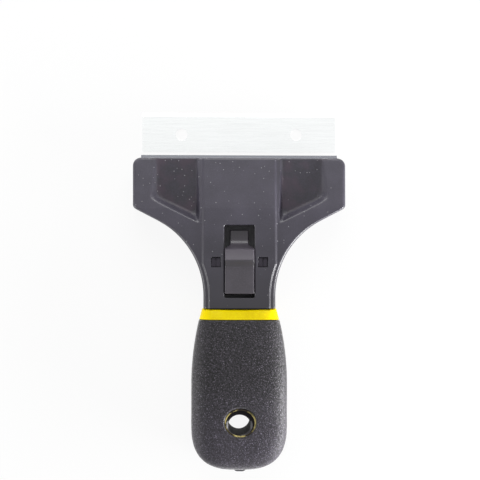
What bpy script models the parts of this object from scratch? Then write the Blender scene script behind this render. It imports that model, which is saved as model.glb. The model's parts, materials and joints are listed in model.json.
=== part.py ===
"""Retractable window scraper with a soft grip, a snap-on front cover and a loose spare blade.

The scraper lies on its back. +X runs along the blade, +Y from the butt to the mouth and +Z up
through the front. Sizes are in metres. A distance along the tool is counted from the mouth
towards the butt, and station() turns it into a world position.
"""

import math

import bmesh
import bpy
import numpy as np
from mathutils import Matrix

MM = 0.001

# Clearances and overruns
GAP = 0.3 * MM
OVERRUN = 2.0 * MM
SMALL_OVERRUN = 0.5 * MM
WELD = 0.001 * MM
PIN_PLAY = 0.15 * MM

# Blades: a fitted one in the head and a spare of the same size in front of it
BLADE_LENGTH = 100.0 * MM
BLADE_WIDTH = 20.0 * MM
BLADE_THICKNESS = 0.5 * MM
BLADE_EDGE = 0.06 * MM
BLADE_GRIND = 1.6 * MM
BLADE_HOLE_RADIUS = 3.0 * MM
BLADE_HOLE_SPACING = 59.4 * MM
BLADE_HOLE_SETBACK = 11.0 * MM
BLADE_OUT = 1.6 * MM
SPARE_GAP = 2.5 * MM

# Steps of the slide: one back to safe, three forward to the working length
SLIDE_STEP = 1.8 * MM
STEPS_FORWARD = 3
STEPS_BACK = 1
TRAVEL_FORWARD = SLIDE_STEP * STEPS_FORWARD
TRAVEL_BACK = SLIDE_STEP * STEPS_BACK

# Blade carrier: a bar under the blade with a back stop, and a tail to the thumb slide
CARRIER_THICKNESS = 1.2 * MM
BAR_INSET = 3.0 * MM
CARRIER_BAR_HALF = BLADE_LENGTH / 2 - BAR_INSET
CARRIER_TAIL_WIDTH = 17.0 * MM
CARRIER_CORNER = 2.0 * MM
CARRIER_TAPER = 0.5 * MM
BACKSTOP_WIDTH = 1.5 * MM
BACKSTOP_RISE = 0.7 * MM
BAR_MARGIN = 1.3 * MM
BAR_REAR = BLADE_WIDTH - BLADE_OUT + BACKSTOP_WIDTH + BAR_MARGIN
ROOM_END = BAR_REAR + TRAVEL_BACK + GAP
PEG_RADIUS = 2.6 * MM
PEG_SHANK_RADIUS = 1.6 * MM
PEG_PROUD = 0.9 * MM
PEG_CHAMFER = 0.5 * MM

# Outline of head and neck, seen from the front
HEAD_SIDE = 4.0 * MM
HEAD_WIDTH = BLADE_LENGTH + 2 * HEAD_SIDE
NECK_WIDTH = 36.0 * MM
SHOULDER_RADIUS = 4.0 * MM
HEEL_RADIUS = 2.5 * MM
HEEL_MARGIN = 2.0 * MM
HEEL_STATION = ROOM_END + HEEL_MARGIN
FLARE_RADIUS = 43.2 * MM
FLARE_ANGLE = math.radians(27.5)
FLARE_HALF = NECK_WIDTH / 2 + FLARE_RADIUS * (1 - math.sin(FLARE_ANGLE))
FLARE_STATION = HEEL_STATION + (HEAD_WIDTH / 2 - FLARE_HALF) * math.tan(FLARE_ANGLE)
FLARE_END = FLARE_STATION + FLARE_RADIUS * math.cos(FLARE_ANGLE)
NECK_STRAIGHT = 4.9 * MM
NECK_END = FLARE_END + NECK_STRAIGHT

# Heights of head and neck
BED_HEIGHT = 5.9 * MM
RIM_HEIGHT = 8.2 * MM
COVER_BASE = RIM_HEIGHT + GAP
NOSE_UNDERSIDE = 4.6 * MM
NOSE_WEDGE = 12.0 * MM
NECK_LIFT = 2.0 * MM
NECK_LIFT_RUN_IN = 14.7 * MM
NECK_LIFT_START = ROOM_END + NECK_LIFT_RUN_IN
NECK_LIFT_RUN_OUT = 13.2 * MM
NECK_LIFT_END = NECK_END - NECK_LIFT_RUN_OUT
NOSE_TOP = 11.0 * MM
CREASE_RUN_IN = 2.7 * MM
CREASE = ROOM_END + CREASE_RUN_IN
CREASE_TOP = 14.8 * MM
NECK_TOP = 18.2 * MM
BAND_WIDTH = 36.4 * MM
BAND_STEP = 1.0 * MM
BAND_RUN = 0.8 * MM
BAND_EDGE_SHARE = 0.25
NECK_SHELF = 0.2 * MM
EDGE_RADIUS = 2.0 * MM
UNDER_RADIUS = 1.2 * MM
COVER_WALL = 2.2 * MM
HOUSING_WALL = 3.0 * MM

# Blade bed, mouth and the space that the carrier runs in
LIP_DEPTH = 1.1 * MM
CARRIER_LOW = BED_HEIGHT + GAP
CARRIER_TOP = CARRIER_LOW + CARRIER_THICKNESS
BLADE_LOW = CARRIER_TOP + GAP
BLADE_TOP = BLADE_LOW + BLADE_THICKNESS
LIP_TOP = BLADE_LOW - GAP
UPPER_LIP_DEPTH = 3.0 * MM
PLUG_LENGTH = 2.4 * MM
PLUG_START = NECK_END - PLUG_LENGTH
TAIL_PLAY = 1.2 * MM
CARRIER_TAIL_END = PLUG_START - TRAVEL_BACK - TAIL_PLAY
FLOOR_WALL = 2.4 * MM
FLOOR_RIB = 2.0 * MM
FLOOR_POCKETS_A_SIDE = 3
FLOOR_POCKET_WIDTH = (CARRIER_BAR_HALF - CARRIER_TAIL_WIDTH / 2) / FLOOR_POCKETS_A_SIDE - FLOOR_RIB
RAIL_WIDTH = 1.6 * MM
RAIL_RUN_IN = 4.7 * MM
RAIL_START = ROOM_END + RAIL_RUN_IN
RAIL_LENGTH = 17.0 * MM

# Pockets of the front cover
POCKET_FROM_BAND = 2.1 * MM
POCKET_FROM_SIDE = 9.2 * MM
POCKET_INNER = BAND_WIDTH / 2 + POCKET_FROM_BAND
POCKET_OUTER = HEAD_WIDTH / 2 - POCKET_FROM_SIDE
POCKET_SHORT = 4.5 * MM
POCKET_OUTER_END = HEEL_STATION - POCKET_SHORT
POCKET_LONG = 7.1 * MM
POCKET_INNER_END = HEEL_STATION + POCKET_LONG
POCKET_INNER_WALL = 1.3 * MM
POCKET_OUTER_WALL = 3.3 * MM
POCKET_END_WALL = 2.4 * MM
POCKET_FLOOR = 2.0 * MM
POCKET_CASING = 1.6 * MM
POCKET_CORNER = 1.6 * MM

# Slot and windows of the front cover
SLOT_WIDTH = 15.3 * MM
SLOT_END_WALL = 4.8 * MM
SLOT_END = NECK_END - SLOT_END_WALL
SLOT_LENGTH = 35.9 * MM
SLOT_START = SLOT_END - SLOT_LENGTH
SLOT_CORNER = 1.0 * MM
SLOT_TO_WINDOW = 1.7 * MM
WINDOW_WIDTH = 4.8 * MM
WINDOW_LENGTH = 5.0 * MM
WINDOW_CENTRE = SLOT_WIDTH / 2 + SLOT_TO_WINDOW + WINDOW_WIDTH / 2
WINDOW_STATION = SLOT_START + SLOT_LENGTH / 2
POST_DEPTH_BELOW_FACE = 0.9 * MM
POST_SLIT = 0.9 * MM

# Thumb slide
PAD_PLAY = 0.35 * MM
PAD_WIDTH = SLOT_WIDTH - 2 * PAD_PLAY
PAD_PROUD = 0.3 * MM
PAD_DEPTH = 3.0 * MM
CREST_RUN_IN = 11.8 * MM
CREST_START = SLOT_START + CREST_RUN_IN
CREST_LENGTH = 4.9 * MM
CREST_RISE = 2.9 * MM
CREST_SLOPE = 3.9 * MM
CREST_ROUND = 0.6 * MM
PAD_CURVE = 3.0 * MM
TONGUE_WIDTH = 9.3 * MM
TONGUE_RUN_IN = 2.3 * MM
TONGUE_START = SLOT_START + TONGUE_RUN_IN
TONGUE_FLARE = 2.4 * MM
TONGUE_LOW = 9.4 * MM
TONGUE_TOP = 12.6 * MM
STEM_WIDTH = 10.0 * MM
STEM_LENGTH = 11.0 * MM
STEM_MARGIN = 2.0 * MM
SCREW_RADIUS = 1.2 * MM
SCREW_HEAD_RADIUS = 2.4 * MM
SCREW_HEAD_HEIGHT = 1.4 * MM
SCREW_LENGTH = 8.0 * MM
SCREW_FACE_SHARE = 0.75
SCREW_CHANNEL_WIDTH = 6.0 * MM
SCREW_CHANNEL_FLOOR = 1.9 * MM

# Detent springs and racks
SPRING_THICKNESS = 0.4 * MM
SPRING_HEIGHT = 1.5 * MM
SPRING_HALF_SPAN = 4.6 * MM
SPRING_NOSE_HALF = 0.55 * MM
SPRING_NOSE_RISE = 0.5 * MM
SPRING_BOW = 3.4 * MM
SPRING_STATION = CARRIER_TAIL_END - SPRING_HALF_SPAN
RACK_WIDTH = 1.8 * MM
RACK_NOTCH_DEPTH = 0.6 * MM

# Collar and handle: outer form of the grip, with the layers set in from it
COLLAR_START = NECK_END + GAP
COLLAR_LENGTH = 6.0 * MM
COLLAR_FLARE = 0.8 * MM
COLLAR_FRONT_HALF = NECK_WIDTH / 2 + COLLAR_FLARE
COLLAR_ROUND = 0.7 * MM
COLLAR_SET_IN = 0.2 * MM
GRIP_START = COLLAR_START + COLLAR_LENGTH + GAP
GRIP_STEP = 1.5 * MM
GRIP_START_HALF = COLLAR_FRONT_HALF + GRIP_STEP
GRIP_SWELL = 3.75 * MM
GRIP_BELLY_HALF = GRIP_START_HALF + GRIP_SWELL
GRIP_FRONT_LENGTH = 31.7 * MM
GRIP_BELLY = GRIP_START + GRIP_FRONT_LENGTH
GRIP_MIDDLE_LENGTH = 20.0 * MM
GRIP_DOME_START = GRIP_BELLY + GRIP_MIDDLE_LENGTH
GRIP_DOME = 23.6 * MM
GRIP_START_LOW = 1.6 * MM
GRIP_START_HIGH = 21.4 * MM
GRIP_BELLY_HIGH = 24.6 * MM
GRIP_DOME_HIGH = 23.4 * MM
GRIP_HEEL_LENGTH = 22.2 * MM
GRIP_BACK_FLAT = GRIP_START + GRIP_HEEL_LENGTH
GRIP_FRONT_ROUND = 0.5 * MM
PLAN_POWER = 2.8
SIDE_POWER = 3.4
SECTION_POWER = 3.6
GRIP_THICKNESS = 2.6 * MM
SLEEVE_THICKNESS = 1.3 * MM
SLEEVE_INSET = GRIP_THICKNESS + GAP
SLEEVE_BORE_INSET = SLEEVE_INSET + SLEEVE_THICKNESS
CORE_INSET = SLEEVE_BORE_INSET + GAP
CORE_STEP = 0.7 * MM

# Hang hole and the core's tip at the butt
HANG_AHEAD = 0.7 * MM
HANG_STATION = GRIP_DOME_START - HANG_AHEAD
TUNNEL_RADIUS = 5.5 * MM
TUNNEL_FUNNEL = 0.9 * MM
CORE_BOSS_RADIUS = 6.9 * MM
CORE_BOSS_SINK = 1.3 * MM
RING_WALL = 0.6 * MM
RING_SINK = 0.6 * MM
GRIP_HOLE_LEAD = 0.6 * MM
TIP_WIDTH = 8.0 * MM
TIP_HEIGHT = 5.0 * MM
TIP_PROUD = 1.0 * MM
TIP_ROUND = 0.8 * MM

# Facets
ARC_STEPS = 5
FLARE_STEPS = 12
EDGE_STEPS = 3
SECTION_STEPS = 16
DOME_STEPS = 9
BODY_RINGS = 8
ROUND_SIDES = 32
SMALL_SIDES = 16
SPRING_STEPS = 10

# Overall length, which the origin halves
BUTT_END = GRIP_DOME_START + GRIP_DOME
TIP_END = BUTT_END + TIP_PROUD
SPARE_FRONT = BLADE_OUT + SPARE_GAP + BLADE_WIDTH
MOUTH_Y = (TIP_END - SPARE_FRONT) / 2

OBJECT_NAME = "safety_scraper"
CUTTER_NAME = "safety_scraper_cutters"


def station(distance):
    """World Y of a distance behind the mouth."""
    return MOUTH_Y - distance


# Scene, materials and objects


def clear_scene():
    for obj in list(bpy.data.objects):
        bpy.data.objects.remove(obj, do_unlink=True)


def collection(name):
    found = bpy.data.collections.new(name)
    bpy.context.scene.collection.children.link(found)
    return found


def linear(channel):
    """sRGB channel from 0 to 1, as linear light."""
    if channel <= 0.04045:
        return channel / 12.92
    return ((channel + 0.055) / 1.055) ** 2.4


def material(name, hex_colour, roughness, metallic=0.0):
    made = bpy.data.materials.new(name)
    made.use_nodes = True
    shader = made.node_tree.nodes["Principled BSDF"]
    channels = [int(hex_colour[i : i + 2], 16) / 255 for i in (0, 2, 4)]
    colour = (*(linear(c) for c in channels), 1.0)
    shader.inputs["Base Color"].default_value = colour
    shader.inputs["Roughness"].default_value = roughness
    shader.inputs["Metallic"].default_value = metallic
    made.diffuse_color = colour
    return made


def add_object(name, mesh, finish=None):
    """A piece when it has a finish, and otherwise a hidden helper among the cutters."""
    obj = bpy.data.objects.new(name, mesh)
    home = OBJECT_NAME if finish else CUTTER_NAME
    bpy.data.collections[home].objects.link(obj)
    if finish:
        mesh.materials.append(finish)
    else:
        obj.hide_render = True
        obj.display_type = "WIRE"
    return obj


def mesh_from(bm, name):
    mesh = bpy.data.meshes.new(name)
    bmesh.ops.recalc_face_normals(bm, faces=bm.faces)
    bm.to_mesh(mesh)
    bm.free()
    return mesh


def smooth(obj, degrees=35.0):
    obj.data.shade_smooth()
    obj.data.set_sharp_from_angle(angle=math.radians(degrees))
    return obj


# Basic solids


def box(name, low, high, finish=None):
    bm = bmesh.new()
    bmesh.ops.create_cube(bm, size=1.0)
    size = [b - a for a, b in zip(low, high)]
    centre = [(a + b) / 2 for a, b in zip(low, high)]
    bmesh.ops.scale(bm, vec=size, verts=bm.verts)
    bmesh.ops.translate(bm, vec=centre, verts=bm.verts)
    return add_object(name, mesh_from(bm, name), finish)


def rod(name, centre, radius, low, high, top_radius=None, sides=ROUND_SIDES):
    """Upright cylinder or cone, with centre in world X and Y."""
    bm = bmesh.new()
    bmesh.ops.create_cone(
        bm,
        cap_ends=True,
        segments=sides,
        radius1=radius,
        radius2=radius if top_radius is None else top_radius,
        depth=high - low,
    )
    bmesh.ops.translate(bm, vec=(*centre, (low + high) / 2), verts=bm.verts)
    return add_object(name, mesh_from(bm, name))


def turned(name, profile, centre, finish=None, sides=ROUND_SIDES):
    """Profile in (radius, height), top to bottom, turned round an upright axis."""
    mesh = bpy.data.meshes.new(name)
    edges = [(i, i + 1) for i in range(len(profile) - 1)]
    mesh.from_pydata([(r, 0, z) for r, z in profile], edges, [])
    obj = add_object(name, mesh, finish)
    obj.location = centre
    screw = obj.modifiers.new("turned", "SCREW")
    screw.steps = sides
    screw.render_steps = sides
    screw.use_merge_vertices = True
    screw.merge_threshold = WELD
    return obj


def outline_curve(name, outlines, half_thickness):
    """Flat 2D curve filled on both sides and extruded, holes among its outlines."""
    curve = bpy.data.curves.new(name, "CURVE")
    curve.dimensions = "2D"
    curve.fill_mode = "BOTH"
    curve.extrude = half_thickness
    for outline in outlines:
        spline = curve.splines.new("POLY")
        spline.points.add(len(outline) - 1)
        for point, (x, y) in zip(spline.points, outline):
            point.co = (x, y, 0, 1)
        spline.use_cyclic_u = True
    return curve


def solid_from_curve(name, curve, placing, finish=None):
    """The curve's solid as a mesh, with its caps welded on."""
    guide = bpy.data.objects.new(name + "_curve", curve)
    bpy.context.scene.collection.objects.link(guide)
    guide.matrix_world = placing
    bpy.context.view_layer.update()
    graph = bpy.context.evaluated_depsgraph_get()
    mesh = bpy.data.meshes.new_from_object(guide.evaluated_get(graph))
    world = guide.matrix_world.copy()
    bpy.data.objects.remove(guide, do_unlink=True)
    bm = bmesh.new()
    bm.from_mesh(mesh)
    bmesh.ops.remove_doubles(bm, verts=bm.verts, dist=WELD)
    bmesh.ops.recalc_face_normals(bm, faces=bm.faces)
    bm.to_mesh(mesh)
    bm.free()
    mesh.materials.clear()
    mesh.name = name
    obj = add_object(name, mesh, finish)
    obj.matrix_world = world
    return obj


def plate(name, outlines, low, high, finish=None):
    """Level plate of world X and Y outlines between two heights."""
    curve = outline_curve(name, outlines, (high - low) / 2)
    placing = Matrix.Translation((0, 0, (low + high) / 2))
    return solid_from_curve(name, curve, placing, finish)


def side_block(name, outline, half_width, finish=None):
    """Side outline in world Y and Z, extruded both ways along X."""
    curve = outline_curve(name, [outline], half_width)
    placing = Matrix(((0, 0, 1, 0), (1, 0, 0, 0), (0, 1, 0, 0), (0, 0, 0, 1)))
    return solid_from_curve(name, curve, placing, finish)


def circle(centre, radius, sides=ROUND_SIDES):
    angles = np.arange(sides) * math.tau / sides
    return [(centre[0] + radius * math.cos(a), centre[1] + radius * math.sin(a)) for a in angles]


def boolean(target, tool, operation):
    step = target.modifiers.new(tool.name, "BOOLEAN")
    step.operation = operation
    step.solver = "EXACT"
    step.object = tool
    return target


def cut(target, tool):
    return boolean(target, tool, "DIFFERENCE")


def join(target, tool):
    return boolean(target, tool, "UNION")


def bevel(obj, width, segments=2):
    step = obj.modifiers.new("rounded_edges", "BEVEL")
    step.width = width
    step.segments = segments
    step.limit_method = "ANGLE"
    return obj


def half_loft(name, rings, finish=None):
    """Solid through half sections at +X, open at X = 0 and completed by a mirror."""
    rings = np.asarray(rings)
    count, points = rings.shape[:2]
    index = np.arange(count * points).reshape(count, points)
    sides = np.stack([index[:-1, :-1], index[:-1, 1:], index[1:, 1:], index[1:, :-1]], axis=-1)
    faces = [tuple(map(int, face)) for face in sides.reshape(-1, 4)]
    faces.append(tuple(map(int, index[0, ::-1])))
    faces.append(tuple(map(int, index[-1])))
    mesh = bpy.data.meshes.new(name)
    mesh.from_pydata(rings.reshape(-1, 3).tolist(), [], faces)
    obj = add_object(name, mesh, finish)
    mirror = obj.modifiers.new("both_sides", "MIRROR")
    mirror.use_axis = (True, False, False)
    mirror.merge_threshold = WELD
    return obj


def section(points, distance):
    """Half section from (x, z) pairs at a distance behind the mouth."""
    return [(x, station(distance), z) for x, z in points]


# Outline of head and neck


def fillet(before, corner, after, radius, steps=ARC_STEPS):
    """Points of the arc that rounds a corner between two straight sides."""
    before, corner, after = (np.array(p, float) for p in (before, corner, after))
    to_before = (before - corner) / np.linalg.norm(before - corner)
    to_after = (after - corner) / np.linalg.norm(after - corner)
    half = math.acos(float(np.clip(to_before @ to_after, -1, 1))) / 2
    tangent = radius / math.tan(half)
    middle = to_before + to_after
    centre = corner + middle / np.linalg.norm(middle) * radius / math.sin(half)
    start = corner + to_before * tangent - centre
    end = corner + to_after * tangent - centre
    turn = math.atan2(start[0] * end[1] - start[1] * end[0], float(start @ end))
    made = []
    for i in range(steps + 1):
        angle = turn * i / steps
        made.append(
            (
                centre[0] + start[0] * math.cos(angle) - start[1] * math.sin(angle),
                centre[1] + start[0] * math.sin(angle) + start[1] * math.cos(angle),
            )
        )
    return made


def rounded(corners, radii, steps=ARC_STEPS):
    """Closed outline with each corner rounded by its radius."""
    made = []
    for i, (corner, radius) in enumerate(zip(corners, radii)):
        if radius:
            after = corners[(i + 1) % len(corners)]
            made += fillet(corners[i - 1], corner, after, radius, steps)
        else:
            made.append(corner)
    return made


def flare_outline(inset=0.0):
    """Right side of the head and neck, as (half width, distance) from the mouth to the neck's end."""
    head_half = HEAD_WIDTH / 2 - inset
    neck_half = NECK_WIDTH / 2 - inset
    centre_x = NECK_WIDTH / 2 + FLARE_RADIUS
    radius = FLARE_RADIUS + inset
    arc_x = centre_x - radius * math.sin(FLARE_ANGLE)
    arc_d = FLARE_END - radius * math.cos(FLARE_ANGLE)
    heel = (head_half, arc_d - (head_half - arc_x) * math.tan(FLARE_ANGLE))
    shoulder = max(SHOULDER_RADIUS - inset, SMALL_OVERRUN)
    heel_radius = max(HEEL_RADIUS - inset, SMALL_OVERRUN)
    front = (0.0, inset)
    corner = (head_half, inset)
    points = fillet(front, corner, heel, shoulder)
    points += fillet(corner, heel, (arc_x, arc_d), heel_radius)
    for i in range(FLARE_STEPS + 1):
        angle = FLARE_ANGLE + (math.pi / 2 - FLARE_ANGLE) * i / FLARE_STEPS
        points.append((centre_x - radius * math.sin(angle), FLARE_END - radius * math.cos(angle)))
    points.append((neck_half, NECK_END))
    return points


def half_width(distance, inset=0.0):
    points = np.array(flare_outline(inset))
    return float(np.interp(distance, points[:, 1], points[:, 0]))


def body_stations(start, end, inset=0.0, extra=()):
    """Distances that the head and neck need a section at, between two ends."""
    wanted = [start, end, *extra, *(d for _, d in flare_outline(inset))]
    kept = sorted(d for d in wanted if start <= d <= end)
    return [d for i, d in enumerate(kept) if i == 0 or d - kept[i - 1] > WELD]


def ramp(distance, stations, heights):
    return float(np.interp(distance, stations, heights))


def wing_top(distance):
    """Height of the cover's face beside the raised band."""
    return ramp(distance, (0, CREASE, NECK_END), (NOSE_TOP, CREASE_TOP, NECK_TOP))


def band_top(distance):
    return wing_top(distance) + BAND_STEP


def underside(distance):
    """Height of the housing's back: a wedge at the mouth, flat, then lifted at the neck."""
    stations = (0, NOSE_WEDGE, NECK_LIFT_START, NECK_LIFT_END)
    return ramp(distance, stations, (NOSE_UNDERSIDE, 0, 0, NECK_LIFT))


def band_half(distance):
    """Half width of the raised band, which narrows where the neck leaves it less room."""
    room = half_width(distance) - EDGE_RADIUS - BAND_RUN - NECK_SHELF
    return min(BAND_WIDTH / 2, room)


def roof_points(half, wing, band, top, base, edge):
    """Half section of the cover: side, rounded edge, wing, step and raised band."""
    edge = min(edge, wing - base - SMALL_OVERRUN)
    points = [(0, base), (half, base)]
    for i in range(EDGE_STEPS + 1):
        angle = math.pi / 2 * i / EDGE_STEPS
        points.append((half - edge + edge * math.cos(angle), wing - edge + edge * math.sin(angle)))
    points.append((band + BAND_RUN, wing))
    points.append((band + BAND_RUN * BAND_EDGE_SHARE, top - BAND_STEP * BAND_EDGE_SHARE))
    points.append((band - BAND_RUN / 2, top))
    points.append((0, top))
    return points


def nose_round(distance):
    """How far the nose's edge falls below the face, as a quarter circle."""
    if distance >= UNDER_RADIUS:
        return 0.0
    left = UNDER_RADIUS - distance
    return UNDER_RADIUS - math.sqrt(UNDER_RADIUS**2 - left**2)


def roof_loft(name, start, end, base, inset=0.0, finish=None, extra=()):
    """Loft of the cover's outside, or of its hollow when inset."""
    rings = []
    edge = max(EDGE_RADIUS - inset, SMALL_OVERRUN)
    for d in body_stations(start, end, inset, (CREASE, *extra)):
        drop = inset + (0 if inset else nose_round(d))
        half = half_width(d, inset)
        band = min(band_half(d) - inset / 2, half - edge - BAND_RUN - SMALL_OVERRUN / 2)
        rings.append(
            section(roof_points(half, wing_top(d) - drop, band, band_top(d) - drop, base, edge), d)
        )
    return half_loft(name, rings, finish)


# Rear housing


def tray_points(half, low, high):
    points = [(0, low)]
    for i in range(EDGE_STEPS + 1):
        angle = math.pi / 2 * i / EDGE_STEPS
        x = half - UNDER_RADIUS + UNDER_RADIUS * math.sin(angle)
        points.append((x, low + UNDER_RADIUS - UNDER_RADIUS * math.cos(angle)))
    points += [(half, high), (0, high)]
    return points


def housing_shell(finish):
    extra = (NOSE_WEDGE, NECK_LIFT_START, NECK_LIFT_END)
    rings = [
        section(tray_points(half_width(d), underside(d), RIM_HEIGHT), d)
        for d in body_stations(0, NECK_END, extra=extra)
    ]
    return half_loft("rear_housing", rings, finish)


def running_space():
    """Room that the carrier and blade run in: blade-wide behind the lip, then the neck's width."""
    blade_half = BLADE_LENGTH / 2 + GAP
    inner = [p for p in flare_outline(HOUSING_WALL) if p[1] > ROOM_END]
    right = [(blade_half, LIP_DEPTH), (blade_half, ROOM_END)]
    shoulder = half_width(ROOM_END, HOUSING_WALL)
    if shoulder < blade_half:
        right.append((shoulder, ROOM_END))
    neck_half = NECK_WIDTH / 2 - HOUSING_WALL
    end = PLUG_START
    right += [(x, d) for x, d in inner if d < end and x < blade_half] + [(neck_half, end)]
    outline = [(x, station(d)) for x, d in right]
    outline += [(-x, y) for x, y in reversed(outline)]
    return plate("running_space", [outline], BED_HEIGHT, RIM_HEIGHT + OVERRUN)


def mouth_cut():
    half = BLADE_LENGTH / 2 + GAP
    low = (-half, station(LIP_DEPTH + SMALL_OVERRUN), LIP_TOP)
    return box("mouth_cut", low, (half, station(-OVERRUN), RIM_HEIGHT + OVERRUN))


def cut_floor_pockets(housing):
    """Weight pockets under the carrier's bar, with ribs between them that hold it up."""
    near = NOSE_WEDGE + FLOOR_RIB
    far = BLADE_WIDTH + BAR_MARGIN
    pitch = FLOOR_POCKET_WIDTH + FLOOR_RIB
    for side in (-1, 1):
        for i in range(FLOOR_POCKETS_A_SIDE):
            middle = side * (CARRIER_TAIL_WIDTH / 2 + FLOOR_RIB + pitch * i + FLOOR_POCKET_WIDTH / 2)
            low = (middle - FLOOR_POCKET_WIDTH / 2, station(far), FLOOR_WALL)
            high = (middle + FLOOR_POCKET_WIDTH / 2, station(near), BED_HEIGHT + SMALL_OVERRUN)
            cut(housing, box(f"floor_pocket_{'left' if side < 0 else 'right'}_{i}", low, high))


def add_rails(housing):
    """Rails that guide the carrier's tail."""
    inner = CARRIER_TAIL_WIDTH / 2 + GAP
    for side in (-1, 1):
        x = sorted((side * inner, side * (inner + RAIL_WIDTH)))
        low = (x[0], station(RAIL_START + RAIL_LENGTH), BED_HEIGHT - SMALL_OVERRUN)
        high = (x[1], station(RAIL_START), RIM_HEIGHT)
        join(housing, box(f"tail_rail_{side}", low, high))


def add_snap_posts(housing):
    """Split posts that stand in the cover's windows."""
    for side in (-1, 1):
        centre = side * WINDOW_CENTRE
        half_x = WINDOW_WIDTH / 2 - GAP
        half_y = WINDOW_LENGTH / 2 - GAP
        top = band_top(WINDOW_STATION) - POST_DEPTH_BELOW_FACE
        middle = station(WINDOW_STATION)
        low = (centre - half_x, middle - half_y, BED_HEIGHT - SMALL_OVERRUN)
        join(housing, box(f"snap_post_{side}", low, (centre + half_x, middle + half_y, top)))
        low = (centre - POST_SLIT / 2, middle - half_y - OVERRUN, COVER_BASE)
        high = (centre + POST_SLIT / 2, middle + half_y + OVERRUN, top + OVERRUN)
        cut(housing, box(f"snap_slit_{side}", low, high))


def rack_face():
    """Half width at the detent rack's crests, where the bowed spring's nose stops short by a gap."""
    return CARRIER_TAIL_WIDTH / 2 + PIN_PLAY + SPRING_THICKNESS + SPRING_BOW + GAP


def add_detent_racks(housing):
    """Toothed racks beside the tail, one notch for each step of the slide."""
    face = rack_face()
    first = SPRING_STATION - TRAVEL_FORWARD - SLIDE_STEP
    last = SPRING_STATION + TRAVEL_BACK + SLIDE_STEP
    outer = face + RACK_WIDTH
    for side in (-1, 1):
        outline = [
            (side * outer, station(last)),
            (side * outer, station(first)),
            (side * face, station(first)),
        ]
        for i in range(-STEPS_FORWARD, STEPS_BACK + 1):
            notch = SPRING_STATION + i * SLIDE_STEP
            for share in (-0.5, 0.0, 0.5):
                depth = RACK_NOTCH_DEPTH if share == 0 else 0
                outline.append((side * (face + depth), station(notch + share * SLIDE_STEP)))
        outline.append((side * face, station(last)))
        low = BED_HEIGHT - SMALL_OVERRUN
        join(housing, plate(f"detent_rack_{side}", [outline], low, RIM_HEIGHT - GAP))


def screw_station():
    return CARRIER_TAIL_END - STEM_MARGIN - STEM_LENGTH / 2


def cut_screw_channel(housing):
    half = SCREW_CHANNEL_WIDTH / 2
    near = screw_station() - TRAVEL_FORWARD - half
    far = screw_station() + TRAVEL_BACK + half
    floor = NECK_LIFT + SCREW_CHANNEL_FLOOR
    low = (-half, station(far), floor)
    cut(housing, box("screw_channel", low, (half, station(near), BED_HEIGHT + SMALL_OVERRUN)))


# Handle forms


def handle_size(distance):
    """Half width, low and high of the grip's outside before its dome."""
    fall = (distance - GRIP_BELLY) / (GRIP_START - GRIP_BELLY)
    half = GRIP_BELLY_HALF
    if distance < GRIP_BELLY:
        half -= (GRIP_BELLY_HALF - GRIP_START_HALF) * fall**2
    low = ramp(distance, (GRIP_START, GRIP_BACK_FLAT), (1.0, 0.0)) ** 2 * GRIP_START_LOW
    if distance < GRIP_BELLY:
        high = GRIP_BELLY_HIGH - (GRIP_BELLY_HIGH - GRIP_START_HIGH) * fall**2
    else:
        back = ramp(distance, (GRIP_BELLY, GRIP_DOME_START), (0.0, 1.0))
        eased = (1 - math.cos(math.pi * back)) / 2
        high = GRIP_BELLY_HIGH - (GRIP_BELLY_HIGH - GRIP_DOME_HIGH) * eased
    return half, low, high


def superellipse_half(half_x, low, high, power):
    """Right half of a rounded section, from its lowest to its highest point."""
    points = []
    for i in range(SECTION_STEPS + 1):
        angle = -math.pi / 2 + math.pi * i / SECTION_STEPS
        c = 0.0 if i in (0, SECTION_STEPS) else abs(math.cos(angle)) ** (2 / power)
        s = math.copysign(abs(math.sin(angle)) ** (2 / power), math.sin(angle))
        points.append((half_x * c, (low + high) / 2 + (high - low) / 2 * s))
    return points


def handle_ring(distance, inset, shrink=0.0):
    half, low, high = handle_size(distance)
    inset = inset + shrink
    return section(superellipse_half(half - inset, low + inset, high - inset, SECTION_POWER), distance)


def dome_rings(inset):
    """Rings that close the butt: plan and side view each follow their own power curve."""
    half, low, high = handle_size(GRIP_DOME_START)
    half -= inset
    middle = (low + high) / 2
    tall = (high - low) / 2 - inset
    length = GRIP_DOME - inset
    rings = []
    for i in range(1, DOME_STEPS + 1):
        reach = math.sin(math.pi / 2 * i / (DOME_STEPS + 1))
        share = reach ** (2 / PLAN_POWER)
        plan = (1 - share**PLAN_POWER) ** (1 / PLAN_POWER)
        side = (1 - share**SIDE_POWER) ** (1 / SIDE_POWER)
        points = superellipse_half(half * plan, middle - tall * side, middle + tall * side, SECTION_POWER)
        rings.append(section(points, GRIP_DOME_START + length * share))
    tall *= side / 2
    end = superellipse_half(half * plan / 2, middle - tall, middle + tall, SECTION_POWER)
    rings.append(section(end, GRIP_DOME_START + length))
    return rings


def handle_rings(start, inset):
    stations = [start + (GRIP_DOME_START - start) * i / BODY_RINGS for i in range(BODY_RINGS + 1)]
    return [handle_ring(d, inset) for d in stations] + dome_rings(inset)


def grip_rings(inset=0.0):
    start = GRIP_START
    rings = [handle_ring(start, inset, GRIP_FRONT_ROUND), handle_ring(start + GRIP_FRONT_ROUND, inset)]
    return rings + handle_rings(start + GRIP_FRONT_ROUND, inset)[1:]


def core_rings():
    """Core of the handle, slimmer where it runs out of the sleeve into the neck's plug."""
    slim = handle_ring(GRIP_START, CORE_INSET, CORE_STEP)
    full = handle_rings(GRIP_START, CORE_INSET)
    fronts = ((PLUG_START + PLUG_LENGTH / 2, slim), (COLLAR_START, slim), (COLLAR_START + CORE_STEP, full[0]))
    return [[(x, station(d), z) for x, _, z in ring] for d, ring in fronts] + full


def hang_centre():
    return (0, station(HANG_STATION))


def hang_surfaces():
    _, low, high = handle_size(HANG_STATION)
    return low, high


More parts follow.
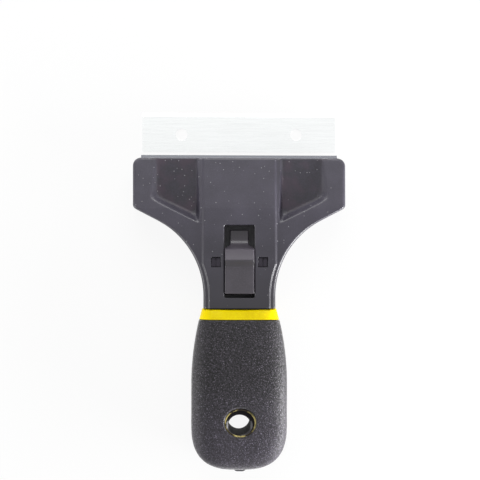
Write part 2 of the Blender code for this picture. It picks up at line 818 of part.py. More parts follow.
def butt_tip(name, grow=0.0, start=None):
    """The core's tip, or the opening for it when grown by a clearance."""
    _, low, high = handle_size(GRIP_DOME_START)
    middle = (low + high) / 2
    half_x = TIP_WIDTH / 2 + grow
    half_z = TIP_HEIGHT / 2 + grow
    begin = BUTT_END - SLEEVE_BORE_INSET - OVERRUN if start is None else start
    end = TIP_END + (OVERRUN if grow else 0)
    low = (-half_x, station(end), middle - half_z)
    tip = box(name, low, (half_x, station(begin), middle + half_z))
    return bevel(tip, TIP_ROUND)


def tunnel_tool(low, high):
    """Cutter for the hang hole, which widens like a funnel at both ends."""
    wide = TUNNEL_RADIUS + TUNNEL_FUNNEL + SMALL_OVERRUN
    profile = [
        (0, high + SMALL_OVERRUN),
        (wide, high + SMALL_OVERRUN),
        (TUNNEL_RADIUS, high - TUNNEL_FUNNEL),
        (TUNNEL_RADIUS, low + TUNNEL_FUNNEL),
        (wide, low - SMALL_OVERRUN),
        (0, low - SMALL_OVERRUN),
    ]
    return turned("tunnel", profile, (*hang_centre(), 0))


# Pieces


def build_housing(finish):
    housing = housing_shell(finish)
    plug_inset = COVER_WALL + GAP
    join(housing, roof_loft("neck_plug", PLUG_START, NECK_END, BED_HEIGHT, plug_inset))
    cut(housing, running_space())
    cut(housing, mouth_cut())
    cut_floor_pockets(housing)
    cut_screw_channel(housing)
    add_rails(housing)
    add_snap_posts(housing)
    add_detent_racks(housing)
    join(housing, half_loft("handle_core", core_rings()))
    low, high = hang_surfaces()
    boss = rod("core_boss", hang_centre(), CORE_BOSS_RADIUS, low + CORE_BOSS_SINK, high - CORE_BOSS_SINK)
    join(housing, boss)
    join(housing, butt_tip("core_tip"))
    cut(housing, tunnel_tool(low + CORE_BOSS_SINK, high - CORE_BOSS_SINK))
    return smooth(housing)


def collar_rings():
    """Flared collar, then a step down to the layer under the grip."""
    half, low, high = handle_size(GRIP_START)
    stations = (0, COLLAR_ROUND, COLLAR_LENGTH)
    widths = (COLLAR_FRONT_HALF - COLLAR_ROUND, COLLAR_FRONT_HALF, half - COLLAR_SET_IN)
    insets = (half - COLLAR_FRONT_HALF + COLLAR_ROUND, half - COLLAR_FRONT_HALF, COLLAR_SET_IN)
    rings = []
    for step, wide, inset in zip(stations, widths, insets):
        points = superellipse_half(wide, low + inset, high - inset, SECTION_POWER)
        rings.append(section(points, COLLAR_START + step))
    return rings


def build_sleeve(finish):
    collar_end = COLLAR_START + COLLAR_LENGTH
    under = handle_rings(GRIP_START, SLEEVE_INSET)
    under.insert(0, [(x, station(collar_end), z) for x, _, z in under[0]])
    sleeve = half_loft("yellow_sleeve", collar_rings() + under, finish)
    bore = handle_rings(GRIP_START, SLEEVE_BORE_INSET)
    bore.insert(0, [(x, station(COLLAR_START - OVERRUN), z) for x, _, z in bore[0]])
    cut(sleeve, half_loft("sleeve_bore", bore))
    low, high = hang_surfaces()
    inner = CORE_BOSS_RADIUS + GAP
    for name, base, top in (
        ("ring_back", low + RING_SINK, low + SLEEVE_BORE_INSET - SLEEVE_THICKNESS / 2),
        ("ring_front", high - SLEEVE_BORE_INSET + SLEEVE_THICKNESS / 2, high - RING_SINK),
    ):
        join(sleeve, rod(name, hang_centre(), inner + RING_WALL, base, top))
    cut(sleeve, rod("sleeve_hole", hang_centre(), inner, low - OVERRUN, high + OVERRUN))
    cut(sleeve, butt_tip("sleeve_tip_opening", GAP))
    return smooth(sleeve)


def build_grip(finish):
    grip = half_loft("soft_grip", grip_rings(), finish)
    bore = handle_rings(GRIP_START, GRIP_THICKNESS)
    bore.insert(0, [(x, station(GRIP_START - OVERRUN), z) for x, _, z in bore[0]])
    cut(grip, half_loft("grip_bore", bore))
    low, high = hang_surfaces()
    radius = CORE_BOSS_RADIUS + GAP + RING_WALL + GAP
    cut(grip, rod("grip_hole", hang_centre(), radius, low - OVERRUN, high + OVERRUN))
    lead = radius + GRIP_HOLE_LEAD
    beyond = lead + OVERRUN
    cut(grip, rod("hole_lead_back", hang_centre(), beyond, low - OVERRUN, low + GRIP_HOLE_LEAD, radius))
    cut(grip, rod("hole_lead_front", hang_centre(), radius, high - GRIP_HOLE_LEAD, high + OVERRUN, beyond))
    cut(grip, butt_tip("grip_tip_opening", GAP))
    return smooth(grip)


def pocket_outline(side, inner, outer, outer_end, inner_end, front, corner):
    """Five-sided pocket, open at the mouth, with its rear corners rounded."""
    corners = [(inner, front), (outer, front), (outer, outer_end), (inner, inner_end)]
    points = rounded(corners, (0, 0, corner, corner), EDGE_STEPS)
    points = [(side * x, station(d)) for x, d in points]
    return points if side < 0 else points[::-1]


def pocket_loft(name, side):
    """Recess with sloping walls, between the floor's outline and a wider one above."""
    floor = COVER_BASE + POCKET_FLOOR
    depth = wing_top(POCKET_OUTER_END) - floor
    reach = 2.0
    low = pocket_outline(
        side,
        POCKET_INNER + POCKET_INNER_WALL,
        POCKET_OUTER - POCKET_OUTER_WALL,
        POCKET_OUTER_END - POCKET_END_WALL,
        POCKET_INNER_END - POCKET_END_WALL,
        -OVERRUN,
        POCKET_CORNER,
    )
    high = pocket_outline(
        side,
        POCKET_INNER + POCKET_INNER_WALL * (1 - reach),
        POCKET_OUTER - POCKET_OUTER_WALL * (1 - reach),
        POCKET_OUTER_END - POCKET_END_WALL * (1 - reach),
        POCKET_INNER_END - POCKET_END_WALL * (1 - reach),
        -OVERRUN,
        POCKET_CORNER,
    )
    points = [(*p, floor) for p in low] + [(*p, floor + depth * reach) for p in high]
    count = len(low)
    faces = [(i, (i + 1) % count, count + (i + 1) % count, count + i) for i in range(count)]
    faces += [tuple(range(count))[::-1], tuple(range(count, 2 * count))]
    mesh = bpy.data.meshes.new(name)
    mesh.from_pydata(points, [], faces)
    bm = bmesh.new()
    bm.from_mesh(mesh)
    bmesh.ops.recalc_face_normals(bm, faces=bm.faces)
    bm.to_mesh(mesh)
    bm.free()
    return add_object(name, mesh)


def cover_hollow():
    """The cover's inside, less the casings that stand round its pockets."""
    low = COVER_BASE - OVERRUN
    hollow = roof_loft("cover_hollow", UPPER_LIP_DEPTH, NECK_END + OVERRUN, low, COVER_WALL)
    for side in (-1, 1):
        outline = pocket_outline(
            side,
            POCKET_INNER - POCKET_CASING,
            POCKET_OUTER + POCKET_CASING,
            POCKET_OUTER_END + POCKET_CASING,
            POCKET_INNER_END + POCKET_CASING,
            -OVERRUN,
            POCKET_CORNER,
        )
        casing = plate(f"pocket_casing_{side}", [outline], COVER_BASE - 2 * OVERRUN, NECK_TOP + OVERRUN)
        cut(hollow, casing)
    return hollow


def build_cover(finish):
    cover = roof_loft("front_cover", 0, NECK_END, COVER_BASE, finish=finish)
    cut(cover, cover_hollow())
    for side in (-1, 1):
        cut(cover, pocket_loft(f"pocket_{side}", side))
        groove_half = PEG_RADIUS + GAP
        peg_x = side * BLADE_HOLE_SPACING / 2
        peg_d = BLADE_HOLE_SETBACK - BLADE_OUT
        low = (peg_x - groove_half, station(peg_d + TRAVEL_BACK + groove_half), COVER_BASE - OVERRUN)
        top = CARRIER_TOP + GAP + BLADE_THICKNESS + PEG_PROUD + GAP
        high = (peg_x + groove_half, station(peg_d - TRAVEL_FORWARD - groove_half), top)
        cut(cover, box(f"peg_groove_{side}", low, high))
        middle = station(WINDOW_STATION)
        low = (side * WINDOW_CENTRE - WINDOW_WIDTH / 2, middle - WINDOW_LENGTH / 2, COVER_BASE)
        high = (side * WINDOW_CENTRE + WINDOW_WIDTH / 2, middle + WINDOW_LENGTH / 2, NECK_TOP + OVERRUN)
        cut(cover, box(f"window_{side}", low, high))
    half = SLOT_WIDTH / 2
    front, rear = station(SLOT_START), station(SLOT_END)
    corners = [(-half, front), (half, front), (half, rear), (-half, rear)]
    slot = rounded(corners, [SLOT_CORNER] * len(corners), EDGE_STEPS)
    cut(cover, plate("slot", [slot], COVER_BASE + OVERRUN, NECK_TOP + OVERRUN))
    return smooth(cover)


def build_blade(name, finish, front, low):
    """Blade with its ground edge towards the mouth side, and two peg holes."""
    half = BLADE_LENGTH / 2
    rear = front + BLADE_WIDTH
    outline = [(-half, station(rear)), (half, station(rear)), (half, station(front)), (-half, station(front))]
    holes = [
        circle((side * BLADE_HOLE_SPACING / 2, station(front + BLADE_HOLE_SETBACK)), BLADE_HOLE_RADIUS)
        for side in (-1, 1)
    ]
    blade = plate(name, [outline, *holes], low, low + BLADE_THICKNESS, finish)
    tip = station(front)
    ground = tip - BLADE_GRIND
    fall = BLADE_THICKNESS - BLADE_EDGE
    over = SMALL_OVERRUN
    top = low + BLADE_THICKNESS
    wedge = [
        (ground, top),
        (tip + over, top - fall - fall * over / BLADE_GRIND),
        (tip + over, top + over),
        (ground, top + over),
    ]
    return cut(blade, side_block(name + "_grind", wedge, half + OVERRUN))


def build_carrier(finish):
    """T-shaped carrier, whose bar stops a gap short of the lip at full reach."""
    front = LIP_DEPTH + GAP + TRAVEL_FORWARD
    rear = BAR_REAR
    tail = CARRIER_TAIL_WIDTH / 2
    bar = CARRIER_BAR_HALF
    corners = [
        (-bar, front),
        (bar, front),
        (bar, rear - CARRIER_TAPER),
        (tail, rear),
        (tail, CARRIER_TAIL_END),
        (-tail, CARRIER_TAIL_END),
        (-tail, rear),
        (-bar, rear - CARRIER_TAPER),
    ]
    outline = rounded(corners, [CARRIER_CORNER] * len(corners), EDGE_STEPS)
    outline = [(x, station(d)) for x, d in outline]
    peg_y = station(BLADE_HOLE_SETBACK - BLADE_OUT)
    holes = [
        circle((side * BLADE_HOLE_SPACING / 2, peg_y), PEG_SHANK_RADIUS + PIN_PLAY, SMALL_SIDES)
        for side in (-1, 1)
    ]
    holes.append(circle((0, station(screw_station())), SCREW_RADIUS + PIN_PLAY, SMALL_SIDES))
    carrier = plate("blade_carrier", [outline, *holes], CARRIER_LOW, CARRIER_TOP, finish)
    stop_front = BLADE_WIDTH - BLADE_OUT + GAP
    low = (-bar + CARRIER_CORNER, station(stop_front + BACKSTOP_WIDTH), CARRIER_TOP - SMALL_OVERRUN)
    high = (bar - CARRIER_CORNER, station(stop_front), CARRIER_TOP + BACKSTOP_RISE)
    return join(carrier, box("blade_backstop", low, high))


def build_peg(name, side, finish):
    """Turned peg: head over the carrier, shank through it."""
    head_low = CARRIER_TOP + PIN_PLAY
    top = BLADE_TOP + PEG_PROUD
    profile = [
        (0, top),
        (PEG_RADIUS - PEG_CHAMFER, top),
        (PEG_RADIUS, top - PEG_CHAMFER),
        (PEG_RADIUS, head_low),
        (PEG_SHANK_RADIUS, head_low),
        (PEG_SHANK_RADIUS, CARRIER_LOW),
        (0, CARRIER_LOW),
    ]
    centre = (side * BLADE_HOLE_SPACING / 2, station(BLADE_HOLE_SETBACK - BLADE_OUT), 0)
    return turned(name, profile, centre, finish)


def build_screw(finish):
    head_low = CARRIER_LOW - PIN_PLAY - SCREW_HEAD_HEIGHT
    head_top = CARRIER_LOW - PIN_PLAY
    tip = head_top + SCREW_LENGTH
    profile = [
        (0, tip),
        (SCREW_RADIUS / 2, tip),
        (SCREW_RADIUS, tip - SCREW_RADIUS),
        (SCREW_RADIUS, head_top),
        (SCREW_HEAD_RADIUS, head_top),
        (SCREW_HEAD_RADIUS, head_low + SCREW_HEAD_HEIGHT / 2),
        (SCREW_HEAD_RADIUS * SCREW_FACE_SHARE, head_low),
        (0, head_low),
    ]
    return turned("slide_screw", profile, (0, station(screw_station()), 0), finish, SMALL_SIDES)


def slide_profile():
    """Side view of the thumb pad, its slope and the crest, as (world Y, height)."""
    crest_end = CREST_START + CREST_LENGTH
    slope_end = crest_end + CREST_SLOPE
    pad_end = SLOT_END - TRAVEL_BACK - GAP
    corners = [
        (CREST_START, TONGUE_LOW),
        (CREST_START, crest_height()),
        (crest_end, crest_height()),
        (slope_end, band_top(slope_end) + PAD_PROUD),
        (pad_end, band_top(pad_end) + PAD_PROUD),
        (pad_end, band_top(pad_end) - PAD_DEPTH),
        (slope_end, band_top(slope_end) - PAD_DEPTH),
        (crest_end, TONGUE_LOW),
    ]
    radii = (0, CREST_ROUND, CREST_ROUND, PAD_CURVE, CREST_ROUND, 0, 0, 0)
    return [(station(d), z) for d, z in rounded(corners, radii, EDGE_STEPS)]


def crest_height():
    return band_top(CREST_START + CREST_LENGTH) + CREST_RISE


def tapered_plan(wide, narrow, start, end):
    """Plan of a block that flares from a narrow front to its full width, then runs on a little."""
    right = [(narrow / 2, start), (wide / 2, end), (wide / 2, end + OVERRUN)]
    outline = [(x, station(d)) for x, d in right]
    return outline + [(-x, y) for x, y in reversed(outline)]


def build_thumb_slide(finish):
    slide = side_block("thumb_slide", slide_profile(), PAD_WIDTH / 2, finish)
    throat = tapered_plan(PAD_WIDTH - GAP, TONGUE_WIDTH - GAP, CREST_START - TONGUE_FLARE, CREST_START)
    join(slide, plate("throat", [throat], TONGUE_LOW + PIN_PLAY, crest_height() - CREST_ROUND))
    half = TONGUE_WIDTH / 2
    low = (-half, station(CREST_START + SMALL_OVERRUN), TONGUE_LOW)
    join(slide, bevel(box("tongue", low, (half, station(TONGUE_START), TONGUE_TOP)), CREST_ROUND))
    stem_end = CARRIER_TAIL_END - STEM_MARGIN
    stem_low = (-STEM_WIDTH / 2, station(stem_end), CARRIER_TOP + PIN_PLAY)
    stem_high = (STEM_WIDTH / 2, station(stem_end - STEM_LENGTH), band_top(stem_end) - PAD_DEPTH / 2)
    join(slide, box("stem", stem_low, stem_high))
    bore_top = CARRIER_LOW + SCREW_LENGTH + GAP
    bore_low = CARRIER_TOP - OVERRUN
    centre = (0, station(screw_station()))
    cut(slide, rod("stem_bore", centre, SCREW_RADIUS + PIN_PLAY, bore_low, bore_top, sides=SMALL_SIDES))
    return slide


def build_spring(name, side, finish):
    """Bowed leaf beside the tail: a flat arch with a small nose at its middle."""
    base = CARRIER_TAIL_WIDTH / 2 + PIN_PLAY + SPRING_THICKNESS / 2
    rows = []
    for i in range(-SPRING_STEPS, SPRING_STEPS + 1):
        along = SPRING_HALF_SPAN * i / SPRING_STEPS
        arch = (SPRING_BOW - SPRING_NOSE_RISE) * math.cos(math.pi / 2 * i / SPRING_STEPS) ** 2
        nose = SPRING_NOSE_RISE * max(0.0, 1 - abs(along) / (2 * SPRING_NOSE_HALF))
        rows.append((side * (base + arch + nose), station(SPRING_STATION + along)))
    low = CARRIER_LOW
    bm = bmesh.new()
    bottom = [bm.verts.new((x, y, low)) for x, y in rows]
    top = [bm.verts.new((x, y, low + SPRING_HEIGHT)) for x, y in rows]
    for i in range(len(rows) - 1):
        bm.faces.new((bottom[i], bottom[i + 1], top[i + 1], top[i]))
    mesh = bpy.data.meshes.new(name)
    bm.to_mesh(mesh)
    bm.free()
    spring = add_object(name, mesh, finish)
    wall = spring.modifiers.new("leaf", "SOLIDIFY")
    wall.thickness = SPRING_THICKNESS
    wall.offset = 0
    return spring


def place_origin(obj, position):
    """Moves an object's origin without moving its shape."""
    shift = Matrix.Translation(position)
    obj.data.transform(shift.inverted() @ obj.matrix_world)
    obj.matrix_world = shift


def set_origins():
    """Puts each moving piece's origin on the line that it slides along."""
    screw = station(screw_station())
    holes = station(BLADE_HOLE_SETBACK - BLADE_OUT)
    spring = station(SPRING_STATION)
    origins = {
        "front_cover": (0, station(NECK_END / 2), COVER_BASE),
        "thumb_slide": (0, screw, CARRIER_TOP),
        "blade_carrier": (0, screw, CARRIER_TOP),
        "fitted_blade": (0, holes, BLADE_LOW),
        "spare_blade": (0, station(BLADE_HOLE_SETBACK - SPARE_FRONT), 0),
        "detent_spring_left": (0, spring, CARRIER_LOW),
        "detent_spring_right": (0, spring, CARRIER_LOW),
    }
    for name, position in origins.items():
        place_origin(bpy.data.objects[name], position)


def main():
    clear_scene()
    collection(OBJECT_NAME)
    collection(CUTTER_NAME)
    black = material("black_moulded_plastic", "2B2930", 0.38)
    cover_black = material("black_cover_plastic", "302E36", 0.34)
    yellow = material("yellow_sleeve_plastic", "F3D900", 0.42)
    soft = material("dark_grey_soft_grip", "3A3740", 0.78)
    slide_black = material("black_slide_plastic", "343238", 0.4)
    carrier_grey = material("grey_carrier_plastic", "55545A", 0.5)
    steel = material("ground_blade_steel", "C9CACD", 0.28, 1.0)
    spring_steel = material("spring_steel", "A9AAAE", 0.35, 1.0)
    build_housing(black)
    build_cover(cover_black)
    build_sleeve(yellow)
    build_grip(soft)
    build_carrier(carrier_grey)
    build_blade("fitted_blade", steel, -BLADE_OUT, BLADE_LOW)
    build_blade("spare_blade", steel, -SPARE_FRONT, 0.0)
    build_thumb_slide(slide_black)
    build_screw(spring_steel)
    for side, word in ((-1, "left"), (1, "right")):
        build_peg(f"blade_peg_{word}", side, spring_steel)
        build_spring(f"detent_spring_{word}", side, spring_steel)
    set_origins()


main()
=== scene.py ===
"""Safety scraper dressed for rendering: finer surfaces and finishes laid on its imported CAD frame."""

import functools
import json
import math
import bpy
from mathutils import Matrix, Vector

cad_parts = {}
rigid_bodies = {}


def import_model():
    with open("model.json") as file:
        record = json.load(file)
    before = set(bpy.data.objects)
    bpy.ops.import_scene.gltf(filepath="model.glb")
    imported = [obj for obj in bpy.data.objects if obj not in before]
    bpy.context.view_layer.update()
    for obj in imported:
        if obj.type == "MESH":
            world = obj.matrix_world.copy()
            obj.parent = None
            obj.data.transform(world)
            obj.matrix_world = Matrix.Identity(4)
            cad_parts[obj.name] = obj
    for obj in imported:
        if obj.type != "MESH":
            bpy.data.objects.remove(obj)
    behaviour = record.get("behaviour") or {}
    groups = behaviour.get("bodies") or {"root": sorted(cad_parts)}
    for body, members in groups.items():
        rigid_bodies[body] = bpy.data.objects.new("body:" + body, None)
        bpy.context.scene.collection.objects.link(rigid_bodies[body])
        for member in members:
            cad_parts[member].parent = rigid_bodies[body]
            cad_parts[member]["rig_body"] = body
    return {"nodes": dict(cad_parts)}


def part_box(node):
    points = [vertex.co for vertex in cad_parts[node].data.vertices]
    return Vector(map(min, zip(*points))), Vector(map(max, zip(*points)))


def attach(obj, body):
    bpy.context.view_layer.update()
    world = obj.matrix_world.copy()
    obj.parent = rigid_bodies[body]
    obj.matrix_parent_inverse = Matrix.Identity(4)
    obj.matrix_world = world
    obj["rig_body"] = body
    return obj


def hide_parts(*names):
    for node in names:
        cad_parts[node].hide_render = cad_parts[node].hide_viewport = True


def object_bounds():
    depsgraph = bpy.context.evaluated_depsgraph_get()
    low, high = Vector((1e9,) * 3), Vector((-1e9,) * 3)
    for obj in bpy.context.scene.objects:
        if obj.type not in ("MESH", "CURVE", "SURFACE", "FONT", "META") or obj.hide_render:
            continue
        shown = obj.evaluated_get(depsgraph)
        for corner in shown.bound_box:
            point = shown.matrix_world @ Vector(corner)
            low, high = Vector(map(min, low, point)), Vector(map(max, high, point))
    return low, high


bl_info = {
    "name": "Safety scraper",
    "version": (1, 0, 0),
    "blender": (4, 5, 0),
    "location": "View3D > Sidebar > Scraper",
    "description": "Dresses the pieces of a safety scraper and sets up a plain studio",
    "category": "Object",
}

import bmesh
import bpy
import numpy as np

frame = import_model()
CAD_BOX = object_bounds()

MM = 0.001
QUARTER = math.pi / 2
WHITE = (1.0, 1.0, 1.0, 1.0)


def linear_colour(hex_colour):
    """sRGB hex to linear: c / 12.92 below 0.04045, otherwise ((c + 0.055) / 1.055) to the power 2.4."""
    channels = np.array([int(hex_colour[i : i + 2], 16) for i in (0, 2, 4)]) / 255
    linear = np.where(channels <= 0.04045, channels / 12.92, ((channels + 0.055) / 1.055) ** 2.4)
    return tuple(float(c) for c in linear)


# Settings


def length(name, description, default):
    return bpy.props.FloatProperty(
        name=name, description=description, default=default, min=0.0, precision=5, unit="LENGTH"
    )


def colour(name, description, default):
    return bpy.props.FloatVectorProperty(
        name=name, description=description, default=linear_colour(default), subtype="COLOR", min=0.0, max=1.0
    )


def power(name, default):
    return bpy.props.FloatProperty(name=name, description="Power in watts", default=default, unit="POWER")


class ScraperShape(bpy.types.PropertyGroup):
    edge_round: length("Edge round", "Rounding of the moulded edges", 0.25 * MM)
    small_round: length("Small edge round", "Rounding of the edges of small metal pieces", 0.08 * MM)
    grain_width: length("Grain width", "Width of one pimple of the soft grip's grain", 0.9 * MM)
    grain_depth: length("Grain depth", "Height of the soft grip's grain", 0.18 * MM)


class ScraperColours(bpy.types.PropertyGroup):
    head: colour("Head", "Moulded plastic of cover and housing", "3C3944")
    # The recess colour is darker than the head's, as painted shade on the pockets' floors.
    recess: colour("Recess", "Etched floor of the cover's pockets", "25222C")
    # The snap posts' colour is darker than the head's, as painted shade in the windows.
    posts: colour("Snap posts", "Etched tops of the snap posts in the cover's windows", "322E37")
    slide: colour("Thumb slide", "Moulded plastic of the thumb slide", "403C43")
    # The hang hole's colour is darker than the housing's, as painted shade in the hole; its duller finish is
    # real.
    bore: colour("Hang hole", "Unpolished core inside the hang hole", "19171A")
    rim: colour("Hang hole rim", "Edge of the yellow layer in the hang hole, paled by wear", "D2C27E")
    smear: colour("Smear", "Dirt on the hang hole's rim", "2E2618")
    collar: colour("Yellow layer", "Plastic of collar and hang hole ring", "F6D800")
    grip: colour("Grip", "Soft rubber over the handle", "1E1C20")
    carrier: colour("Carrier", "Glass-filled nylon of the blade carrier", "757479")
    # The ground edge's colour is far darker than the blade's, as painted shade at the mouth.
    ground: colour("Ground edge", "Freshly ground edges of the blades", "636469")
    blade: colour("Blade", "Rolled steel of the blades", "F0F2F2")
    spring: colour("Spring", "Springs, and the zinc-plated pegs and screw", "A9AAAE")


class ScraperStudio(bpy.types.PropertyGroup):
    camera_height: length("Camera height", "Height of the camera over the floor", 480.0 * MM)
    camera_left: length("Camera to the left", "Camera's offset from the middle line", 10.9 * MM)
    camera_ahead: length("Camera ahead", "Camera's offset towards the mouth", 14.9 * MM)
    camera_turn: bpy.props.FloatVectorProperty(
        name="Camera turn",
        description="Turn of the camera from looking straight down",
        default=[math.radians(degrees) for degrees in (1.258, -1.38, 0.085)],
        subtype="EULER",
    )
    focal_length: bpy.props.FloatProperty(
        name="Focal length", description="Lens of the camera in millimetres", default=69.51, min=1.0
    )
    floor: colour("Floor", "Colour of the floor", "F7F7F7")
    floor_glow: bpy.props.FloatProperty(
        name="Floor brightness",
        description="Share of the seen floor that shows no shadow",
        default=0.9,
        min=0.0,
        max=1.0,
    )
    sky: bpy.props.FloatProperty(
        name="Sky", description="Strength of the even light from all round", default=0.22, min=0.0
    )
    right_box: power("Right softbox", 3.9)
    left_box: power("Left softbox", 1.0)
    front_box: power("Front softbox", 1.55)
    top_box: power("Top softbox", 0.95)


# Materials. A width is that of one bump or patch, a tone is a share of the finish's own colour, and a range
# holds what a Map Range node takes: where it starts and ends, and then the values that it gives there, if
# they aren't 0 and 1.

NOISE_MIDDLE = (0.3, 0.7)


def add_node(tree, kind, inputs=(), output=0, **settings):
    """Adds one shader node and gives one of its outputs, if it has any. The inputs stand in the node's own
    order, or in a dictionary by socket, and each is a value, or the socket that it is linked from."""
    made = tree.nodes.new("ShaderNode" + kind)
    for name, value in settings.items():
        setattr(made, name, value)
    for socket, value in inputs.items() if isinstance(inputs, dict) else enumerate(inputs):
        if isinstance(value, bpy.types.NodeSocket):
            tree.links.new(value, made.inputs[socket])
        else:
            made.inputs[socket].default_value = value
    return made.outputs[output] if made.outputs else None


def new_material(name):
    """Empty material, and the function that adds a node to it."""
    material = bpy.data.materials.new(name)
    material.use_nodes = True
    material.node_tree.nodes.clear()
    return material, functools.partial(add_node, material.node_tree)


def layered(node, paint, layers):
    """Lays colours over a paint, one after the other, each with the share that it covers. Sockets 0, 6 and 7
    of a Mix node are its factor and its two colours."""
    for share, cover in layers:
        paint = node("Mix", {0: share, 6: paint, 7: cover}, output=2, data_type="RGBA")
    return paint


def shaded(tint, tone=1.0):
    """A colour made lighter or darker, as a shader's colour value."""
    return (*(min(c * tone, 1.0) for c in tint), 1.0)


# The melt's flow leaves patches of slightly other tone and gloss.
FLOW_WIDTH = 12 * MM
FLOW_TONES = (0.85, 1.15)
FLOW_GLOSS = 0.04
# The real etch is 0.05 mm wide and too fine to show, so it is drawn ten times as wide.
ETCH_WIDTH = 0.5 * MM
ETCH_RANGE = (0.5, 0.75, 0.0, 0.5)
ETCH_TONE = 1.7
ETCH_HEIGHT = 0.03 * MM
ETCH_DEPTH = 0.15
# The neck is painted darker by this tone, as painted shade.
NECK_SHADE_TONE = 0.36
CREST_AND_SLOPE_SHARE = 0.5
RECESS_DEPTH = 0.6
RECESS_DULLNESS = 0.2
PIT_WIDTH = 0.9 * MM
PIT_TONES = (0.65, 1.35)
# In cloudy patches the mould's etch has taken unevenly.
CLOUD_WIDTH = 9 * MM
CLOUD_RANGE = (0.44, 0.62, 0.0, 0.8)
CLOUD_TONE = 1.6
CLOUD_RED = 1.35
# Specks of dust some 0.4 mm across, one to about 45 square millimetres.
DUST_SPACING = 2.7 * MM
DUST_RANGE = (0.06, 0.1, 0.6, 0.0)
DUST = (0.5, 0.5, 0.52, 1.0)


def moulded_plastic(name, tint, roughness, shine=0.5, recess=None, neck_shade_and_dust=False, crest_light_and_slope_shade=False):
    """Injection-moulded plastic with a fine spark-eroded face: satin, faintly mottled in tone and gloss. A
    piece with a recess attribute has the coarser and duller etch there, and is painted darker there as painted
    shade. With neck shade and dust, the plastic is painted darker from the crease back to the neck, as painted
    shade, and keeps specks of dust. With crest light and slope shade, the slide's crest is painted paler, as
    painted light, and the slope behind it is painted dark, as painted shade."""
    material, node = new_material(name)
    place = node("TexCoord", output="Object")
    ahead = node("SeparateXYZ", [place], "Y") if neck_shade_and_dust or crest_light_and_slope_shade else None
    flow = node("TexNoise", {"Vector": place, "Scale": 1 / FLOW_WIDTH, "Detail": 3.0})
    etch = node("TexNoise", {"Vector": place, "Scale": 1 / ETCH_WIDTH})
    gloss = node("MapRange", [flow, *NOISE_MIDDLE, roughness - FLOW_GLOSS, roughness + FLOW_GLOSS])
    depth = ETCH_DEPTH
    layers = [
        (node("MapRange", [flow, *NOISE_MIDDLE]), shaded(tint, FLOW_TONES[1])),
        (node("MapRange", [etch, *ETCH_RANGE]), shaded(tint, ETCH_TONE)),
    ]
    if neck_shade_and_dust:
        # Painted shade: the plastic is painted darker from the crease back to the neck.
        neck_shade_share = node("MapRange", [ahead, MOUTH - NECK_END, MOUTH - CREASE, 1.0, 0.0])
        layers.append((neck_shade_share, shaded(tint, NECK_SHADE_TONE)))
    if crest_light_and_slope_shade:
        # Painted light on the crest, and painted shade on the slope behind it.
        for tone, stations in CREST_LIGHT_AND_SLOPE_SHADE:
            start, full, last, end = (MOUTH - station for station in stations)
            front = node("MapRange", [ahead, start, full, 0.0, CREST_AND_SLOPE_SHARE])
            rear = node("MapRange", [ahead, end, last])
            layers.append((node("Math", [front, rear], operation="MULTIPLY"), shaded(tint, tone)))
    # Painted shade: the pockets' floors are painted darker, mottled in tone with reddish patches.
    if recess:
        share = node("Attribute", output="Fac", attribute_name="recess")
        pits = node("TexNoise", {"Vector": place, "Scale": 1 / PIT_WIDTH, "Detail": 3.0})
        clouds = node("TexNoise", {"Vector": place, "Scale": 1 / CLOUD_WIDTH, "Detail": 5.0})
        red = (recess[0] * CLOUD_RED, recess[1], recess[2])
        patches = [
            (node("MapRange", [pits, *NOISE_MIDDLE]), shaded(recess, PIT_TONES[1])),
            (node("MapRange", [clouds, *CLOUD_RANGE]), shaded(red, CLOUD_TONE)),
        ]
        layers.append((share, layered(node, shaded(recess, PIT_TONES[0]), patches)))
        gloss = node("Math", [share, RECESS_DULLNESS, gloss], operation="MULTIPLY_ADD")
        depth = node("MapRange", [share, 0.0, 1.0, ETCH_DEPTH, RECESS_DEPTH])
    if neck_shade_and_dust:
        apart = node("TexVoronoi", {"Vector": place, "Scale": 1 / DUST_SPACING})
        layers.append((node("MapRange", [apart, *DUST_RANGE]), DUST))
    paint = layered(node, shaded(tint, FLOW_TONES[0]), layers)
    inputs = {"Base Color": paint, "Roughness": gloss, "IOR": 1.53, "Specular IOR Level": shine}
    inputs["Normal"] = node("Bump", {"Height": etch, "Strength": depth, "Distance": ETCH_HEIGHT})
    node("OutputMaterial", [node("BsdfPrincipled", inputs)])
    return material


SMEAR_WIDTH = 5 * MM
SMEAR_RANGE = (0.6, 0.75)
FLECK_WIDTH = 0.8 * MM
FLECK_SHARE = 0.3


def smeared_plastic(name, tint, dirt):
    """Thin rim of pale plastic, over which dirt and rubber have been rubbed in flecked patches."""
    material, node = new_material(name)
    place = node("TexCoord", output="Object")
    patches = node("TexNoise", {"Vector": place, "Scale": 1 / SMEAR_WIDTH})
    flecks = node("TexNoise", {"Vector": place, "Scale": 1 / FLECK_WIDTH})
    rubbed = node("Math", [flecks, FLECK_SHARE, patches], operation="MULTIPLY_ADD")
    paint = layered(node, shaded(tint), [(node("MapRange", [rubbed, *SMEAR_RANGE]), shaded(dirt))])
    inputs = {"Base Color": paint, "Roughness": 0.5, "IOR": 1.49, "Specular IOR Level": 0.3}
    node("OutputMaterial", [node("BsdfPrincipled", inputs)])
    return material


LIT_TOPS_RANGE = (0.42, 0.66)
PAINTED_TOP_LIGHT_TONE = 2.4
TOPS_GLOSS = (0.6, 0.28)
WORN_WIDTH = 20 * MM
WORN_SHARE = 0.3
WORN_TONE = 1.3
# The painted glints and the finer bumps are finer than the pimples, and still coarser than the real glints, so
# that they show.
SPECK_FINENESS = 1.7
GLINT_RANGE = (0.58, 0.7)
PAINTED_GLINT_TONE = 11.5
PIMPLE_SHARE = 0.7
PIMPLE_HEIGHT = 0.25 * MM
# The butt end is painted paler, as painted light from behind.
BUTT_PAINTED_LIGHT = (1.7, 1.7, 1.85, 1.0)
BUTT_LIGHT_SHARE = 0.3
BUTT_LIGHT_TONE = 8.0


